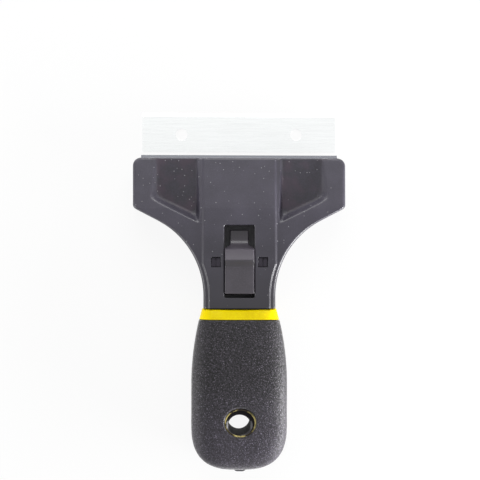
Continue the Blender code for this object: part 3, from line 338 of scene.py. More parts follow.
def etched_rubber(name, tint, pimple):
    """Thermoplastic rubber from a deeply etched mould: dull in the hollows and glossier on the tops of its
    pimples.
    Its colour is painted shade in the hollows and painted light on the tops, with bright specks as painted
    glints."""
    material, node = new_material(name)
    place = node("TexCoord", output="Object")
    grain = node("TexNoise", {"Vector": place, "Scale": 1 / pimple, "Detail": 3.0})
    fine = node("TexNoise", {"Vector": place, "Scale": SPECK_FINENESS / pimple})
    worn = node("TexNoise", {"Vector": place, "Scale": 1 / WORN_WIDTH})
    # Painted shade in the hollows, painted light on the pimples' tops and bright specks as painted glints; the
    # worn patches are random tone.
    layers = [
        (node("MapRange", [grain, *LIT_TOPS_RANGE]), shaded(tint, PAINTED_TOP_LIGHT_TONE)),
        (node("MapRange", [worn, *NOISE_MIDDLE, 0.0, WORN_SHARE]), shaded(tint, WORN_TONE)),
        (node("MapRange", [fine, *GLINT_RANGE]), shaded(tint, PAINTED_GLINT_TONE)),
    ]
    paint = layered(node, shaded(tint, 0.0), layers)
    # Painted light: the grip is painted paler towards the butt end.
    ahead = node("SeparateXYZ", [place], "Y")
    butt = node("MapRange", [ahead, MOUTH - GRIP_END, MOUTH - GRIP_BELLY, 1.0, 0.0])
    paint = node("Mix", {0: butt, 6: paint, 7: BUTT_PAINTED_LIGHT}, output=2, data_type="RGBA", blend_type="MULTIPLY")
    butt_light = node("Math", [butt, BUTT_LIGHT_SHARE], operation="MULTIPLY")
    inputs = {
        "Base Color": layered(node, paint, [(butt_light, shaded(tint, BUTT_LIGHT_TONE))]),
        "Roughness": node("MapRange", [grain, *NOISE_MIDDLE, *TOPS_GLOSS]),
        "IOR": 1.5,
        "Specular IOR Level": 0.27,
        # The dusty bloom on soft rubber lightens it where it is seen at a slant.
        "Sheen Weight": 0.4,
        "Sheen Roughness": 0.4,
    }
    height = node("Math", [grain, PIMPLE_SHARE, fine], operation="MULTIPLY_ADD")
    inputs["Normal"] = node("Bump", {"Height": height, "Strength": 1.0, "Distance": PIMPLE_HEIGHT})
    node("OutputMaterial", [node("BsdfPrincipled", inputs)])
    return material


# Rolling leaves lines a hundred times as long as wide. The real ones are some 0.02 mm wide, and are drawn
# wider, to show.
LINE_WIDTH = 0.15 * MM
LINE_STRETCH = (0.01, 1.0, 1.0)
LINE_TONES = (0.94, 1.04)
LINE_GLOSS = (-0.04, 0.05)
LINE_HEIGHT = 0.01 * MM
STAIN_WIDTH = 18 * MM
STAIN_SHARE = 0.3
STAIN_TONE = 0.93


def rolled_steel(name, tint, roughness):
    """Cold-rolled steel: pale and bright, with fine lines along the strip that break up its gloss."""
    material, node = new_material(name)
    place = node("TexCoord", output="Object")
    along = node("Mapping", {"Vector": place, "Scale": LINE_STRETCH})
    lines = node("TexNoise", {"Vector": along, "Scale": 1 / LINE_WIDTH, "Detail": 4.0})
    stains = node("TexNoise", {"Vector": place, "Scale": 1 / STAIN_WIDTH})
    layers = [
        (lines, shaded(tint, LINE_TONES[1])),
        (node("MapRange", [stains, *NOISE_MIDDLE, 0.0, STAIN_SHARE]), shaded(tint, STAIN_TONE)),
    ]
    inputs = {
        "Base Color": layered(node, shaded(tint, LINE_TONES[0]), layers),
        "Roughness": node("MapRange", [lines, *NOISE_MIDDLE, *(roughness + change for change in LINE_GLOSS)]),
        "Metallic": 1.0,
        "Normal": node("Bump", {"Height": lines, "Strength": 0.1, "Distance": LINE_HEIGHT}),
    }
    node("OutputMaterial", [node("BsdfPrincipled", inputs)])
    return material


def seen_ray(node):
    """1 for a ray from the camera, or one that a mirror or glass sends on, and 0 for light on the object."""
    path = node("LightPath").node.outputs
    pair = node("Math", [path["Is Camera Ray"], path["Is Glossy Ray"]], operation="MAXIMUM")
    return node("Math", [pair, path["Is Transmission Ray"]], operation="MAXIMUM")


def matt_paper(name, tint, glow):
    """White backdrop paper, perfectly matt. Most of it is seen plain white, and the rest takes shadows."""
    material, node = new_material(name)
    share = node("Math", [seen_ray(node), glow], operation="MULTIPLY")
    both = node("BsdfDiffuse", [(*tint, 1.0)]), node("Emission", [WHITE, 1.0])
    node("OutputMaterial", [node("MixShader", [share, *both])])
    return material


def even_sky(name, strength):
    """World that lights the object evenly, and is plain white where it is seen or mirrored."""
    world = bpy.data.worlds.new(name)
    world.use_nodes = True
    tree = world.node_tree
    node = functools.partial(add_node, tree)
    background = tree.nodes["Background"].inputs
    background["Color"].default_value = WHITE
    tree.links.new(node("MapRange", [seen_ray(node), 0.0, 1.0, strength, 1.0]), background["Strength"])
    return world


# Shapes, in metres. A station or distance is measured back from the mouth, and a height from the floor.

MOUTH = float(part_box("front_cover")[1][1])
NECK_END = MOUTH - float(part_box("front_cover")[0][1])
HEAD_HALF = float(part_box("front_cover")[1][0])
COVER_BASE = float(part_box("front_cover")[0][2])
NECK_HALF = 18.0 * MM
SHOULDER_RADIUS = 4.0 * MM
HEEL_RADIUS = 2.5 * MM
FLARE_RADIUS = 43.2 * MM
FLARE_ANGLE = math.radians(27.5)
NECK_STRAIGHT = 4.9 * MM
FLARE_END = NECK_END - NECK_STRAIGHT
CREASE = 26.0 * MM
FACE_STATIONS = (0.0, CREASE, NECK_END)
FACE_HEIGHTS = (11.0 * MM, 14.8 * MM, 18.2 * MM)
BAND_HALF = 18.2 * MM
BAND_STEP = 1.0 * MM
BAND_RUN = 0.8 * MM
EDGE_RADIUS = 2.0 * MM
NECK_SHELF = 0.2 * MM
NOSE_RADIUS = 1.2 * MM
LEAST_RADIUS = 0.5 * MM
COVER_WALL = 2.2 * MM
LIP_DEPTH = 3.0 * MM
POCKET_FLOOR = 10.5 * MM
POCKET_INNER = 20.3 * MM
POCKET_OUTER = 44.8 * MM
POCKET_OUTER_END = 20.8 * MM
POCKET_INNER_END = 32.4 * MM
POCKET_INNER_WALL = 1.3 * MM
POCKET_OUTER_WALL = 3.3 * MM
POCKET_END_WALL = 2.4 * MM
POCKET_CORNER = 3.5 * MM
POCKET_CASING = 1.6 * MM
POCKET_WALL_BLEND = 1.0 * MM
POCKET_WIDTH_BLEND = 0.8 * MM
POCKET_FLOOR_BLEND = 0.45
POCKET_RIM_BLEND = 0.9 * MM
SLOT_HALF = 7.65 * MM
SLOT_START = 34.3 * MM
SLOT_LENGTH = 36.5 * MM
SLOT_CORNER = 1.0 * MM
SLOT_CHAMFER = 0.35 * MM
WINDOW_HALF = 2.4 * MM
WINDOW_LENGTH = 5.0 * MM
WINDOW_CENTRE = 11.75 * MM
WINDOW_STATION = 53.0 * MM
WINDOW_CORNER = 0.3 * MM
WINDOW_CHAMFER = 0.2 * MM
POST_CLEARANCE = 0.3 * MM
POST_DEPTH = 0.9 * MM
HEAD_TAPER = 0.35 * MM
SHOULDER_POINTS = 9
HEEL_POINTS = 7
FLARE_POINTS = 60
COVER_OVERRUN = 0.75 * MM
COVER_GRID = 0.4 * MM
HOLLOW_GRID = 0.8 * MM
GRID_GAP = 0.3 * MM
COVER_ACROSS = 271
HOLLOW_ACROSS = 101
COVER_EDGE_POINTS = 8
NOSE_POINTS = 9
PEG_GROOVE_CENTRE = 29.7 * MM
PEG_GROOVE_HALF = 2.9 * MM
PEG_GROOVE_START = 1.1 * MM
PEG_GROOVE_END = 14.1 * MM
PEG_GROOVE_TOP = 9.4 * MM
# How far a cutter reaches past what it cuts.
OVER = 1.0 * MM
CRISP_ANGLE = math.radians(40)


def arc(centre, radius, start, end, count):
    """Points of a circle's arc: centre plus radius times sine and cosine of evenly spaced angles."""
    angles = np.linspace(start, end, count)
    return np.stack([centre[0] + radius * np.sin(angles), centre[1] - radius * np.cos(angles)], axis=1)


def half_width(distances, inset=0.0):
    """Half width of head and neck: a quarter circle, the side, which tapers a little, an arc at the heel, a
    slant and a circle that runs out into the neck, all moved inwards by the inset."""
    side = HEAD_HALF - inset
    end = side - HEAD_TAPER
    centre = (NECK_HALF + FLARE_RADIUS, FLARE_END)
    radius = FLARE_RADIUS + inset
    slant_x = centre[0] - radius * math.sin(FLARE_ANGLE)
    slant_end = centre[1] - radius * math.cos(FLARE_ANGLE)
    heel = slant_end - (end - slant_x) * math.tan(FLARE_ANGLE)
    shoulder = max(SHOULDER_RADIUS - inset, LEAST_RADIUS)
    bend = max(HEEL_RADIUS - inset, LEAST_RADIUS)
    turn = QUARTER - FLARE_ANGLE
    heel_reach = bend * math.tan(turn / 2)
    outline = np.concatenate(
        [
            arc((side - shoulder, inset + shoulder), shoulder, 0.0, QUARTER, SHOULDER_POINTS),
            arc((end - bend, heel - heel_reach), bend, QUARTER, QUARTER + turn, HEEL_POINTS),
            arc(centre, radius, -FLARE_ANGLE, -QUARTER, FLARE_POINTS),
            [(NECK_HALF - inset, NECK_END)],
        ]
    )
    return np.interp(distances, outline[:, 1], outline[:, 0])


def smooth_max(a, b, blend):
    """The larger of two heights, with a parabola of the blend's size where they meet."""
    near = np.maximum(blend - np.abs(a - b), 0.0) / blend
    return np.maximum(a, b) + near**2 * blend / 4


def smooth_min(a, b, blend):
    """The smaller of two heights, with the same parabola."""
    return -smooth_max(-a, -b, blend)


def smooth_step(share):
    """Cubic step: 3 t squared less 2 t cubed, for t held between 0 and 1."""
    held = np.clip(share, 0.0, 1.0)
    return held * held * (3 - 2 * held)


def face_height(distances):
    """Height of the cover's face beside the band: two straight slopes that meet at the crease."""
    return np.interp(distances, FACE_STATIONS, FACE_HEIGHTS)


def roof_height(x, distances, inset):
    """The face's slopes, less the nose's quarter circle outside or the wall inside, plus a cubic step up on to
    the centre band."""
    nose = np.clip(NOSE_RADIUS - distances, 0.0, None)
    fall = inset if inset else NOSE_RADIUS - np.sqrt(NOSE_RADIUS**2 - nose**2)
    room = half_width(distances) - EDGE_RADIUS - BAND_RUN - NECK_SHELF
    band = np.minimum(BAND_HALF, room) - inset / 2
    rise = smooth_step((band + BAND_RUN - np.abs(x)) / (1.5 * BAND_RUN))
    return face_height(distances) - fall + BAND_STEP * rise


def pocket_height(x, distances):
    """Flat floor, and walls that rise in proportion to how far a point lies outside the floor's outline. The
    outline's three sides are joined by parabolas, which round its corners, and the wall's width there is the
    mean of the sides' own widths, weighted by e to the power of how far the point lies outside each."""
    across = np.abs(x)
    slope = (POCKET_OUTER_END - POCKET_INNER_END) / (POCKET_OUTER - POCKET_INNER)
    end_line = POCKET_INNER_END - POCKET_END_WALL + (across - POCKET_INNER) * slope
    sides = (
        (POCKET_INNER + POCKET_INNER_WALL - across, POCKET_INNER_WALL),
        (across - POCKET_OUTER + POCKET_OUTER_WALL, POCKET_OUTER_WALL),
        ((distances - end_line) / math.hypot(1, slope), POCKET_END_WALL / math.hypot(1, slope)),
    )
    outside = smooth_max(smooth_max(sides[0][0], sides[1][0], POCKET_WALL_BLEND), sides[2][0], POCKET_CORNER)
    shares = [np.exp(np.clip(away / POCKET_WIDTH_BLEND, -30, 30)) for away, _ in sides]
    width = sum(share * wall for share, (_, wall) in zip(shares, sides)) / sum(shares)
    climb = smooth_max(outside / width, np.zeros_like(outside), POCKET_FLOOR_BLEND)
    return POCKET_FLOOR + (face_height(POCKET_OUTER_END) - POCKET_FLOOR) * climb


def tube(name, rings):
    """Piece with a closed skin through rings of points: neighbouring rings are joined by four-cornered
    faces, and the first and last ring are filled. The sign of its volume turns it right side out."""
    rings = np.asarray(rings, float)
    count, around = rings.shape[:2]
    index = np.arange(count * around).reshape(count, around)
    after = np.roll(index, -1, axis=1)
    faces = np.stack([index[:-1], after[:-1], after[1:], index[1:]], axis=-1).reshape(-1, 4)
    caps = [index[0, ::-1], index[-1]]
    points = rings.reshape(-1, 3)
    a, b, c, d = (points[faces[:, i]] for i in range(4))
    volume = np.einsum("ij,ij->", a, np.cross(b, c)) + np.einsum("ij,ij->", a, np.cross(c, d))
    for cap in caps:
        first, rest = points[cap[0]], points[cap[1:]]
        volume += np.einsum("j,ij->", first, np.cross(rest[:-1], rest[1:]))
    if volume < 0:
        faces, caps = faces[:, ::-1], [cap[::-1] for cap in caps]
    corners = np.concatenate([faces.ravel(), *caps]).astype(np.int32)
    sizes = np.array([4] * len(faces) + [around] * 2, np.int32)
    mesh = bpy.data.meshes.new(name)
    mesh.vertices.add(len(points))
    mesh.vertices.foreach_set("co", points.astype(np.float32).ravel())
    mesh.loops.add(len(corners))
    mesh.loops.foreach_set("vertex_index", corners)
    mesh.polygons.add(len(sizes))
    mesh.polygons.foreach_set("loop_start", (np.cumsum(sizes) - sizes).astype(np.int32))
    mesh.update(calc_edges=True)
    mesh.validate()
    return add_piece(name, mesh)


def add_piece(name, mesh):
    piece = bpy.data.objects.new(name, mesh)
    bpy.context.scene.collection.objects.link(piece)
    return piece


def prism(name, plan, low, high):
    """Upright piece over a plan outline, between two heights."""
    return tube(name, [np.column_stack([plan, np.full(len(plan), z)]) for z in (low, high)])


def block(name, low, high):
    """Upright box between two corners."""
    plan = [(low[0], low[1]), (high[0], low[1]), (high[0], high[1]), (low[0], high[1])]
    return prism(name, plan, low[2], high[2])


def ellipse(middle, half_x, half_y, count=96):
    """Outline of an ellipse: its half widths times cosine and sine of evenly spaced angles."""
    angles = np.linspace(0, 2 * np.pi, count, endpoint=False)
    return np.column_stack([middle[0] + half_x * np.cos(angles), middle[1] + half_y * np.sin(angles)])


def combined(piece, tools, operation="DIFFERENCE"):
    """Cuts closed meshes from a piece, or joins them to it, and keeps the result as its own mesh."""
    for tool in tools:
        step = piece.modifiers.new(tool.name, "BOOLEAN")
        step.object = tool
        step.operation = operation
        step.solver = "MANIFOLD"
    graph = bpy.context.evaluated_depsgraph_get()
    made = bpy.data.meshes.new_from_object(piece.evaluated_get(graph))
    if len(made.polygons) < 4:
        raise RuntimeError(f"{piece.name}: nothing is left of it after {operation.lower()}")
    piece.modifiers.clear()
    old, piece.data = piece.data, made
    made.name = piece.name
    bpy.data.meshes.remove(old)
    for tool in tools:
        mesh = tool.data
        bpy.data.objects.remove(tool)
        bpy.data.meshes.remove(mesh)
    return piece


def finished(piece, finish, node, crisp=CRISP_ANGLE):
    """Gives a piece its finish, smooth shading, crisp edges above an angle, and its place in the frame."""
    mesh = piece.data
    mesh.materials.clear()
    mesh.materials.append(finish)
    mesh.polygons.foreach_set("use_smooth", np.ones(len(mesh.polygons), bool))
    mesh.set_sharp_from_angle(angle=crisp)
    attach(piece, frame["nodes"][node]["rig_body"])
    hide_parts(node)
    return piece


# Front cover


def moulding_rings(d, half, low, top_x, top_z, edge, steps):
    """Rings across a moulding, one to each station: up the left side, round a quarter circle at its edge,
    over the top and down the right side in the same way."""
    turn = np.linspace(0, QUARTER, steps)[None, 1:]
    side_x = half - edge + edge * np.sin(turn)
    side_z = top_z[:, -1:] - edge + edge * np.cos(turn)
    x = np.concatenate([-half, -side_x[:, ::-1], top_x, side_x, half], axis=1)
    z = np.concatenate([low, side_z[:, ::-1], top_z, side_z, low], axis=1)
    return np.stack([x, MOUTH - d + 0 * x, z], axis=-1)


def roof_rings(distances, across, low, inset=0.0, pockets=False):
    """Rings of the cover's outside, or of its inside when inset, with or without the pockets."""
    d = distances[:, None]
    half = half_width(d, inset)
    room = roof_height(half, d, inset) - low - LEAST_RADIUS
    edge = np.minimum(max(EDGE_RADIUS - inset, LEAST_RADIUS), room)
    top_x = np.linspace(-1, 1, across)[None, :] * (half - edge)
    top_z = roof_height(top_x, d, inset)
    if pockets:
        top_z = smooth_min(top_z, pocket_height(top_x, d), POCKET_RIM_BLEND)
    return moulding_rings(d, half, np.full_like(half, low), top_x, top_z, edge, COVER_EDGE_POINTS)


def rounded_rectangle(half_x, half_y, radius, steps=6):
    """Outline of a rectangle with a quarter circle at each corner, as offsets from its middle."""
    corners = [(1, 1, 0.0), (-1, 1, 0.5), (-1, -1, 1.0), (1, -1, 1.5)]
    parts = []
    for side_x, side_y, begin in corners:
        angles = np.linspace(begin * math.pi, (begin + 0.5) * math.pi, steps)
        x, y = side_x * (half_x - radius), side_y * (half_y - radius)
        parts.append(np.column_stack([x + radius * np.cos(angles), y + radius * np.sin(angles)]))
    return np.concatenate(parts)


def opening_tool(name, middle, half_x, half_y, radius, chamfer, low):
    """Cutter for an opening of the cover: a rounded rectangle, straight up to just under the band's face,
    then widening evenly on all sides by as much as it rises."""
    rings = []
    wide = chamfer + OVER
    for grow, rise in ((0.0, None), (0.0, -chamfer), (wide, OVER), (wide, 4 * OVER)):
        outline = rounded_rectangle(half_x + grow, half_y + grow, radius + grow)
        flat = rounded_rectangle(half_x, half_y, radius)
        distances = middle[1] - flat[:, 1]
        z = np.full(len(outline), low) if rise is None else face_height(distances) + BAND_STEP + rise
        rings.append(np.stack([middle[0] + outline[:, 0], MOUTH - middle[1] + outline[:, 1], z], axis=1))
    return tube(name, rings)


def pocket_casing(name, side):
    """Upright block round a pocket, which stays solid when the cover is hollowed."""
    inner, outer = POCKET_INNER - POCKET_CASING, POCKET_OUTER + POCKET_CASING
    ends = [(inner, -5 * OVER), (outer, -5 * OVER), (outer, POCKET_OUTER_END), (inner, POCKET_INNER_END)]
    plan = [(side * x, MOUTH - (d if d < 0 else d + POCKET_CASING)) for x, d in ends]
    return prism(name, plan, COVER_BASE - 5 * OVER, FACE_HEIGHTS[-1])


def cover_shell():
    """The cover's outside on a fine grid, hollowed by the same form moved inwards, with its openings."""
    nose = NOSE_RADIUS * (1 - np.cos(np.linspace(0, QUARTER, NOSE_POINTS)))
    rows = np.arange(NOSE_RADIUS + GRID_GAP, NECK_END, COVER_GRID)
    distances = np.concatenate([nose, rows, [NECK_END + COVER_OVERRUN]])
    shell = tube("front_cover_shell", roof_rings(distances, COVER_ACROSS, COVER_BASE, pockets=True))
    inside = np.append(np.arange(LIP_DEPTH, NECK_END, HOLLOW_GRID), NECK_END + 2 * OVER)
    hollow = tube("hollow", roof_rings(inside, HOLLOW_ACROSS, COVER_BASE - 2 * OVER, COVER_WALL))
    combined(hollow, [pocket_casing(f"casing_{side}", side) for side in (-1, 1)])
    slot = (0, SLOT_START + SLOT_LENGTH / 2), SLOT_HALF, SLOT_LENGTH / 2, SLOT_CORNER, SLOT_CHAMFER
    tools = [hollow, opening_tool("slot", *slot, POCKET_FLOOR)]
    for side in (-1, 1):
        middle = (side * WINDOW_CENTRE, WINDOW_STATION)
        window = middle, WINDOW_HALF, WINDOW_LENGTH / 2, WINDOW_CORNER, WINDOW_CHAMFER
        tools.append(opening_tool(f"window_{side}", *window, POCKET_FLOOR))
        x = side * PEG_GROOVE_CENTRE
        low = (x - PEG_GROOVE_HALF, MOUTH - PEG_GROOVE_END, COVER_BASE - 2 * OVER)
        high = (x + PEG_GROOVE_HALF, MOUTH - PEG_GROOVE_START, PEG_GROOVE_TOP)
        tools.append(block(f"peg_groove_{side}", low, high))
    return combined(shell, tools)


# Thumb slide

SLIDE_LOW = 9.4 * MM
TONGUE_START = SLOT_START + 2.46 * MM
TONGUE_TOP = 12.6 * MM
TONGUE_HALF = 4.65 * MM
RAMP_START = 41.5 * MM
FLARE_RUN = 2.4 * MM
CREST_START = 46.4 * MM
CREST_END = 51.85 * MM
CREST_LEAN = 1.4 * MM
SLOPE_END = 55.3 * MM
PAD_END = SLOT_START + SLOT_LENGTH - 2.1 * MM
PAD_HALF = 7.3 * MM
PAD_PROUD = 0.3 * MM
PAD_DEPTH = 3.0 * MM
CREST_RISE = 2.9 * MM
SLIDE_ROUND = 0.5 * MM
SLIDE_GRID = 0.2 * MM
SLIDE_ACROSS = 17
SLIDE_EDGE_POINTS = 6
SLIDE_END_POINTS = 5
CREST_LIP = 1.2 * MM
CREST_DISH = 0.12 * MM
LIP_EASE = 0.3 * MM
SLOPE_EASE = 0.4 * MM
STEM_HALF_WIDTH = 5.0 * MM
STEM_HALF_LENGTH = 5.5 * MM
STEM_SINK = 0.5 * MM
BORE_RADIUS = 1.35 * MM
BORE_POINTS = 32
BORE_ABOVE_SCREW = 0.3 * MM
# Tone of the painted light on the crest and of the painted shade on the slope, and the stations at which each
# begins, is full, stays full and ends.
CREST_LIGHT_AND_SLOPE_SHADE = (
    (2.4, (CREST_START - 0.8 * MM, CREST_START, CREST_END - 0.2 * MM, CREST_END + 0.2 * MM)),
    (0.0, (CREST_END - 0.1 * MM, CREST_END + 0.3 * MM, SLOPE_END - 0.4 * MM, SLOPE_END + 0.2 * MM)),
)


def slide_top(distances):
    """The slide's top from the front: flat tongue, a ramp that steepens as a square, the crest, which leans a
    little towards the mouth and is dished by half a sine, a smooth step down and the pad along the band."""
    crest = face_height(CREST_END) + BAND_STEP + CREST_RISE
    climb = np.clip((distances - RAMP_START) / (CREST_START - RAMP_START), 0, 1)
    along = np.clip((distances - CREST_START) / (CREST_END - CREST_START), 0, 1)
    front = TONGUE_TOP + (crest - CREST_LEAN - CREST_LIP - TONGUE_TOP) * climb**2
    top = crest - CREST_LEAN * (1 - along) - CREST_DISH * np.sin(np.pi * along)
    pad = face_height(distances) + BAND_STEP + PAD_PROUD
    down = smooth_step((distances - CREST_END + SLOPE_EASE) / (SLOPE_END - CREST_END + 2 * SLOPE_EASE))
    lip = smooth_step((distances - CREST_START + LIP_EASE) / (2 * LIP_EASE))
    end = np.clip((distances - PAD_END + SLIDE_ROUND) / SLIDE_ROUND, 0, 1)
    fall = SLIDE_ROUND * (1 - np.sqrt(1 - end**2))
    return front * (1 - lip) + (top * (1 - down) + pad * down) * lip - fall


def slide_button():
    """The slide from front to back: its half width flares in a cubic step from the tongue to the crest, and a
    quarter circle rounds each end."""
    turn = np.linspace(0, QUARTER, SLIDE_END_POINTS)
    start = TONGUE_START + SLIDE_ROUND * (1 - np.cos(turn))
    end = PAD_END - SLIDE_ROUND * (1 - np.sin(turn))
    rows = np.arange(start[-1] + SLIDE_GRID, end[0] - SLIDE_GRID / 2, SLIDE_GRID)
    d = np.concatenate([start, rows, end])[:, None]
    half = TONGUE_HALF + (PAD_HALF - TONGUE_HALF) * smooth_step((d - CREST_START + FLARE_RUN) / FLARE_RUN)
    top = slide_top(d)
    nose = np.clip((TONGUE_START + SLIDE_ROUND - d) / SLIDE_ROUND, 0, 1)
    top = top - SLIDE_ROUND * (1 - np.sqrt(1 - nose**2))
    low = np.where(d < CREST_END, SLIDE_LOW, face_height(d) + BAND_STEP - PAD_DEPTH)
    flat = np.linspace(-1, 1, SLIDE_ACROSS)[None, :] * (half - SLIDE_ROUND)
    level = np.broadcast_to(top, flat.shape)
    rings = moulding_rings(d, half, low, flat, level, SLIDE_ROUND, SLIDE_EDGE_POINTS)
    button = tube("thumb_slide_button", rings)
    screw_low, screw_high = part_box("slide_screw")
    middle = (screw_low.y + screw_high.y) / 2
    low = (-STEM_HALF_WIDTH, middle - STEM_HALF_LENGTH, float(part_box("thumb_slide")[0][2]))
    high = (STEM_HALF_WIDTH, middle + STEM_HALF_LENGTH, face_height(PAD_END) - STEM_SINK)
    combined(button, [block("stem", low, high)], "UNION")
    outline = ellipse((0, middle), BORE_RADIUS, BORE_RADIUS, BORE_POINTS)
    bore = prism("stem_bore", outline, low[2] - OVER, float(screw_high.z) + BORE_ABOVE_SCREW)
    return combined(button, [bore])


# Soft grip

GRIP_START = MOUTH - float(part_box("soft_grip")[1][1])
GRIP_HALF = float(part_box("soft_grip")[1][0])
GRIP_END = MOUTH - float(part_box("soft_grip")[0][1])
GRIP_DOME = 23.6 * MM
DOME_REACH = 23.3 * MM
GRIP_MIDDLE = 20.0 * MM
DOME_START = GRIP_END - GRIP_DOME
GRIP_BELLY = DOME_START - GRIP_MIDDLE
GRIP_SWELL = 3.75 * MM
GRIP_HEEL = 22.2 * MM
GRIP_LOW = 1.6 * MM
GRIP_HIGHS = (21.4 * MM, 24.6 * MM, 23.4 * MM)
GRIP_LIP = 0.5 * MM
SECTION_POWER = 3.6
PLAN_POWER = 2.72
SIDE_POWER = 3.4
GRIP_WALL = 2.6 * MM
HANG_STATION = DOME_START - 0.7 * MM
HOLE_RADIUS = 8.1 * MM
TUNNEL_RADIUS = 5.5 * MM
TUNNEL_FUNNEL = 0.9 * MM
TUNNEL_TALL = 0.91
TUNNEL_BEHIND = 0.5 * MM
CORE_SINK = 1.3 * MM
CORE_FACE_RADIUS = 7.3 * MM
RIM_FADE = 16.0 * MM
RIM_WIDE = 0.985
RIM_TALL = 0.875
RIM_RIGHT = 0.42 * MM
RIM_AHEAD = 0.57 * MM
RIM_FADE_LOW = 10 * MM
RIM_FADE_RUN = 6 * MM
GRIP_GRID = 0.4 * MM
GRIP_BORE_GRID = 2.0 * MM
# Points along which a curve's length is added up.
RUN_POINTS = 20001
DOME_RUN_POINTS = 4001
# Girth of the handle's section, as a share of that of the box round it.
GIRTH_SHARE = 0.93
GRIP_HOLE_CHAMFER = 0.6 * MM
COARSE_SHARE = 0.7
# Large odd numbers, which turn a lattice corner's place into a number of 16 bits that looks random, and half
# of the largest number of 16 bits.
HASH_STEPS = (73856093, 19349663, 83492791)
HASH_FACTOR = 1274126177
HASH_HALF = 32767.5
LIP_RINGS = 5
TIP_OPENING = (4.3 * MM, 2.8 * MM)
TIP_HALF = (3.8 * MM, 2.4 * MM)
TIP_CORNER = 0.8 * MM
TIP_RIGHT = 0.4 * MM
TIP_PROUD = 1.45 * MM
TIP_POWER = 0.5
TIP_RINGS = 12
TIP_LAST_SHARE = 0.985
COLLAR_BACK = 0.5 * MM
COLLAR_BOW = 1.15 * MM
COLLAR_FADE = 6 * MM
GROOVE_HALF = 0.3 * MM
GROOVE_DEPTH = 0.35 * MM


def handle_size(distances):
    """Half width, lowest and highest point of the handle. The width swells as a parabola up to the belly. The
    height swells in the same way and eases off as half a cosine wave. At the front the back lifts as a
    parabola."""
    front = np.clip((distances - GRIP_BELLY) / (GRIP_START - GRIP_BELLY), 0, None)
    back = np.clip((distances - GRIP_BELLY) / GRIP_MIDDLE, 0, 1)
    half = GRIP_HALF - GRIP_SWELL * front**2
    low = GRIP_LOW * np.clip(1 - (distances - GRIP_START) / GRIP_HEEL, 0, 1) ** 2
    high = GRIP_HIGHS[1] - (GRIP_HIGHS[1] - GRIP_HIGHS[0]) * front**2
    high = high - (GRIP_HIGHS[1] - GRIP_HIGHS[2]) * (1 - np.cos(np.pi * back)) / 2
    return half, low, high


def handle_heights(station):
    """Lowest and highest point of the handle at one station."""
    return [float(height) for height in handle_size(np.float64(station))[1:]]


def power_circle(angles, power):
    """Superellipse: the cosine and sine of each angle, each to the power of two over the form's power."""
    c, s = np.cos(angles), np.sin(angles)
    return np.sign(c) * np.abs(c) ** (2 / power), np.sign(s) * np.abs(s) ** (2 / power)


def run_along(x, y):
    """Way from a line's start to each of its points."""
    return np.concatenate([[0], np.cumsum(np.hypot(np.diff(x), np.diff(y)))])


def even_angles(count, wide, tall, power):
    """Angles at which a superellipse of that width and height has its points evenly spaced."""
    dense = np.linspace(0, 2 * np.pi, RUN_POINTS)
    c, s = power_circle(dense, power)
    run = run_along(c * wide, s * tall)
    return np.interp(np.linspace(0, run[-1], count, endpoint=False), run, dense)


def handle_rings(spacing, inset=0.0):
    """Rings of the handle's outside, or of its inside when inset: superellipses that follow the handle's
    width and height, and then close over the dome, whose plan and side view each are a superellipse too."""
    lip = GRIP_LIP if not inset else 0.0
    dome = GRIP_DOME - inset if inset else DOME_REACH
    turn = np.linspace(0, QUARTER, LIP_RINGS)
    lip_d = GRIP_START + lip * (1 - np.cos(turn))
    body = np.arange(GRIP_START + lip + spacing, DOME_START, spacing)
    dense = np.linspace(0, QUARTER, DOME_RUN_POINTS)
    reach = np.sin(dense) ** (2 / PLAN_POWER)
    plan = (1 - reach**PLAN_POWER) ** (1 / PLAN_POWER)
    run = run_along(reach * GRIP_DOME, plan * GRIP_HALF)
    # The last ring stops a little before the dome's end, and the flat cap closes it.
    steps = np.linspace(0, run[-1], int(run[-1] / spacing))[:-2]
    share = np.interp(steps, run, reach)
    distances = np.concatenate([lip_d, body, DOME_START + dome * share])
    shrink = np.concatenate([lip * (1 - np.sin(turn)), np.zeros(len(body) + len(share))])
    share = np.concatenate([np.zeros(len(lip_d) + len(body)), share])
    half, low, high = handle_size(np.minimum(distances, DOME_START))
    middle, tall = (low + high) / 2, (high - low) / 2
    wide = (half - inset - shrink) * (1 - share**PLAN_POWER) ** (1 / PLAN_POWER)
    tall = (tall - inset - shrink) * (1 - share**SIDE_POWER) ** (1 / SIDE_POWER)
    count = int(2 * (2 * GRIP_HALF + GRIP_HIGHS[1]) * GIRTH_SHARE / spacing)
    c, s = power_circle(even_angles(count, GRIP_HALF, GRIP_HIGHS[1] / 2, SECTION_POWER), SECTION_POWER)
    x = wide[:, None] * c
    z = middle[:, None] + tall[:, None] * s
    return np.stack([x, np.broadcast_to(MOUTH - distances[:, None], x.shape), z], axis=-1)


def lattice_noise(points, width):
    """Value noise from -1 to 1: a number is hashed for each corner of a cubic lattice as wide as one bump,
    and cubic steps blend the eight corners round each point."""
    cell = np.floor(points / width).astype(np.int64)
    share = smooth_step(points / width - cell)
    total = np.zeros(points.shape[:-1])
    for corner in np.ndindex(2, 2, 2):
        key = (cell + corner) @ np.array(HASH_STEPS)
        key = (key ^ (key >> 13)) * HASH_FACTOR & 0x7FFFFFFF
        key = (key ^ (key >> 16)) & 0xFFFF
        weight = np.prod(np.where(corner, share, 1 - share), axis=-1)
        total += weight * (key / HASH_HALF - 1)
    return total


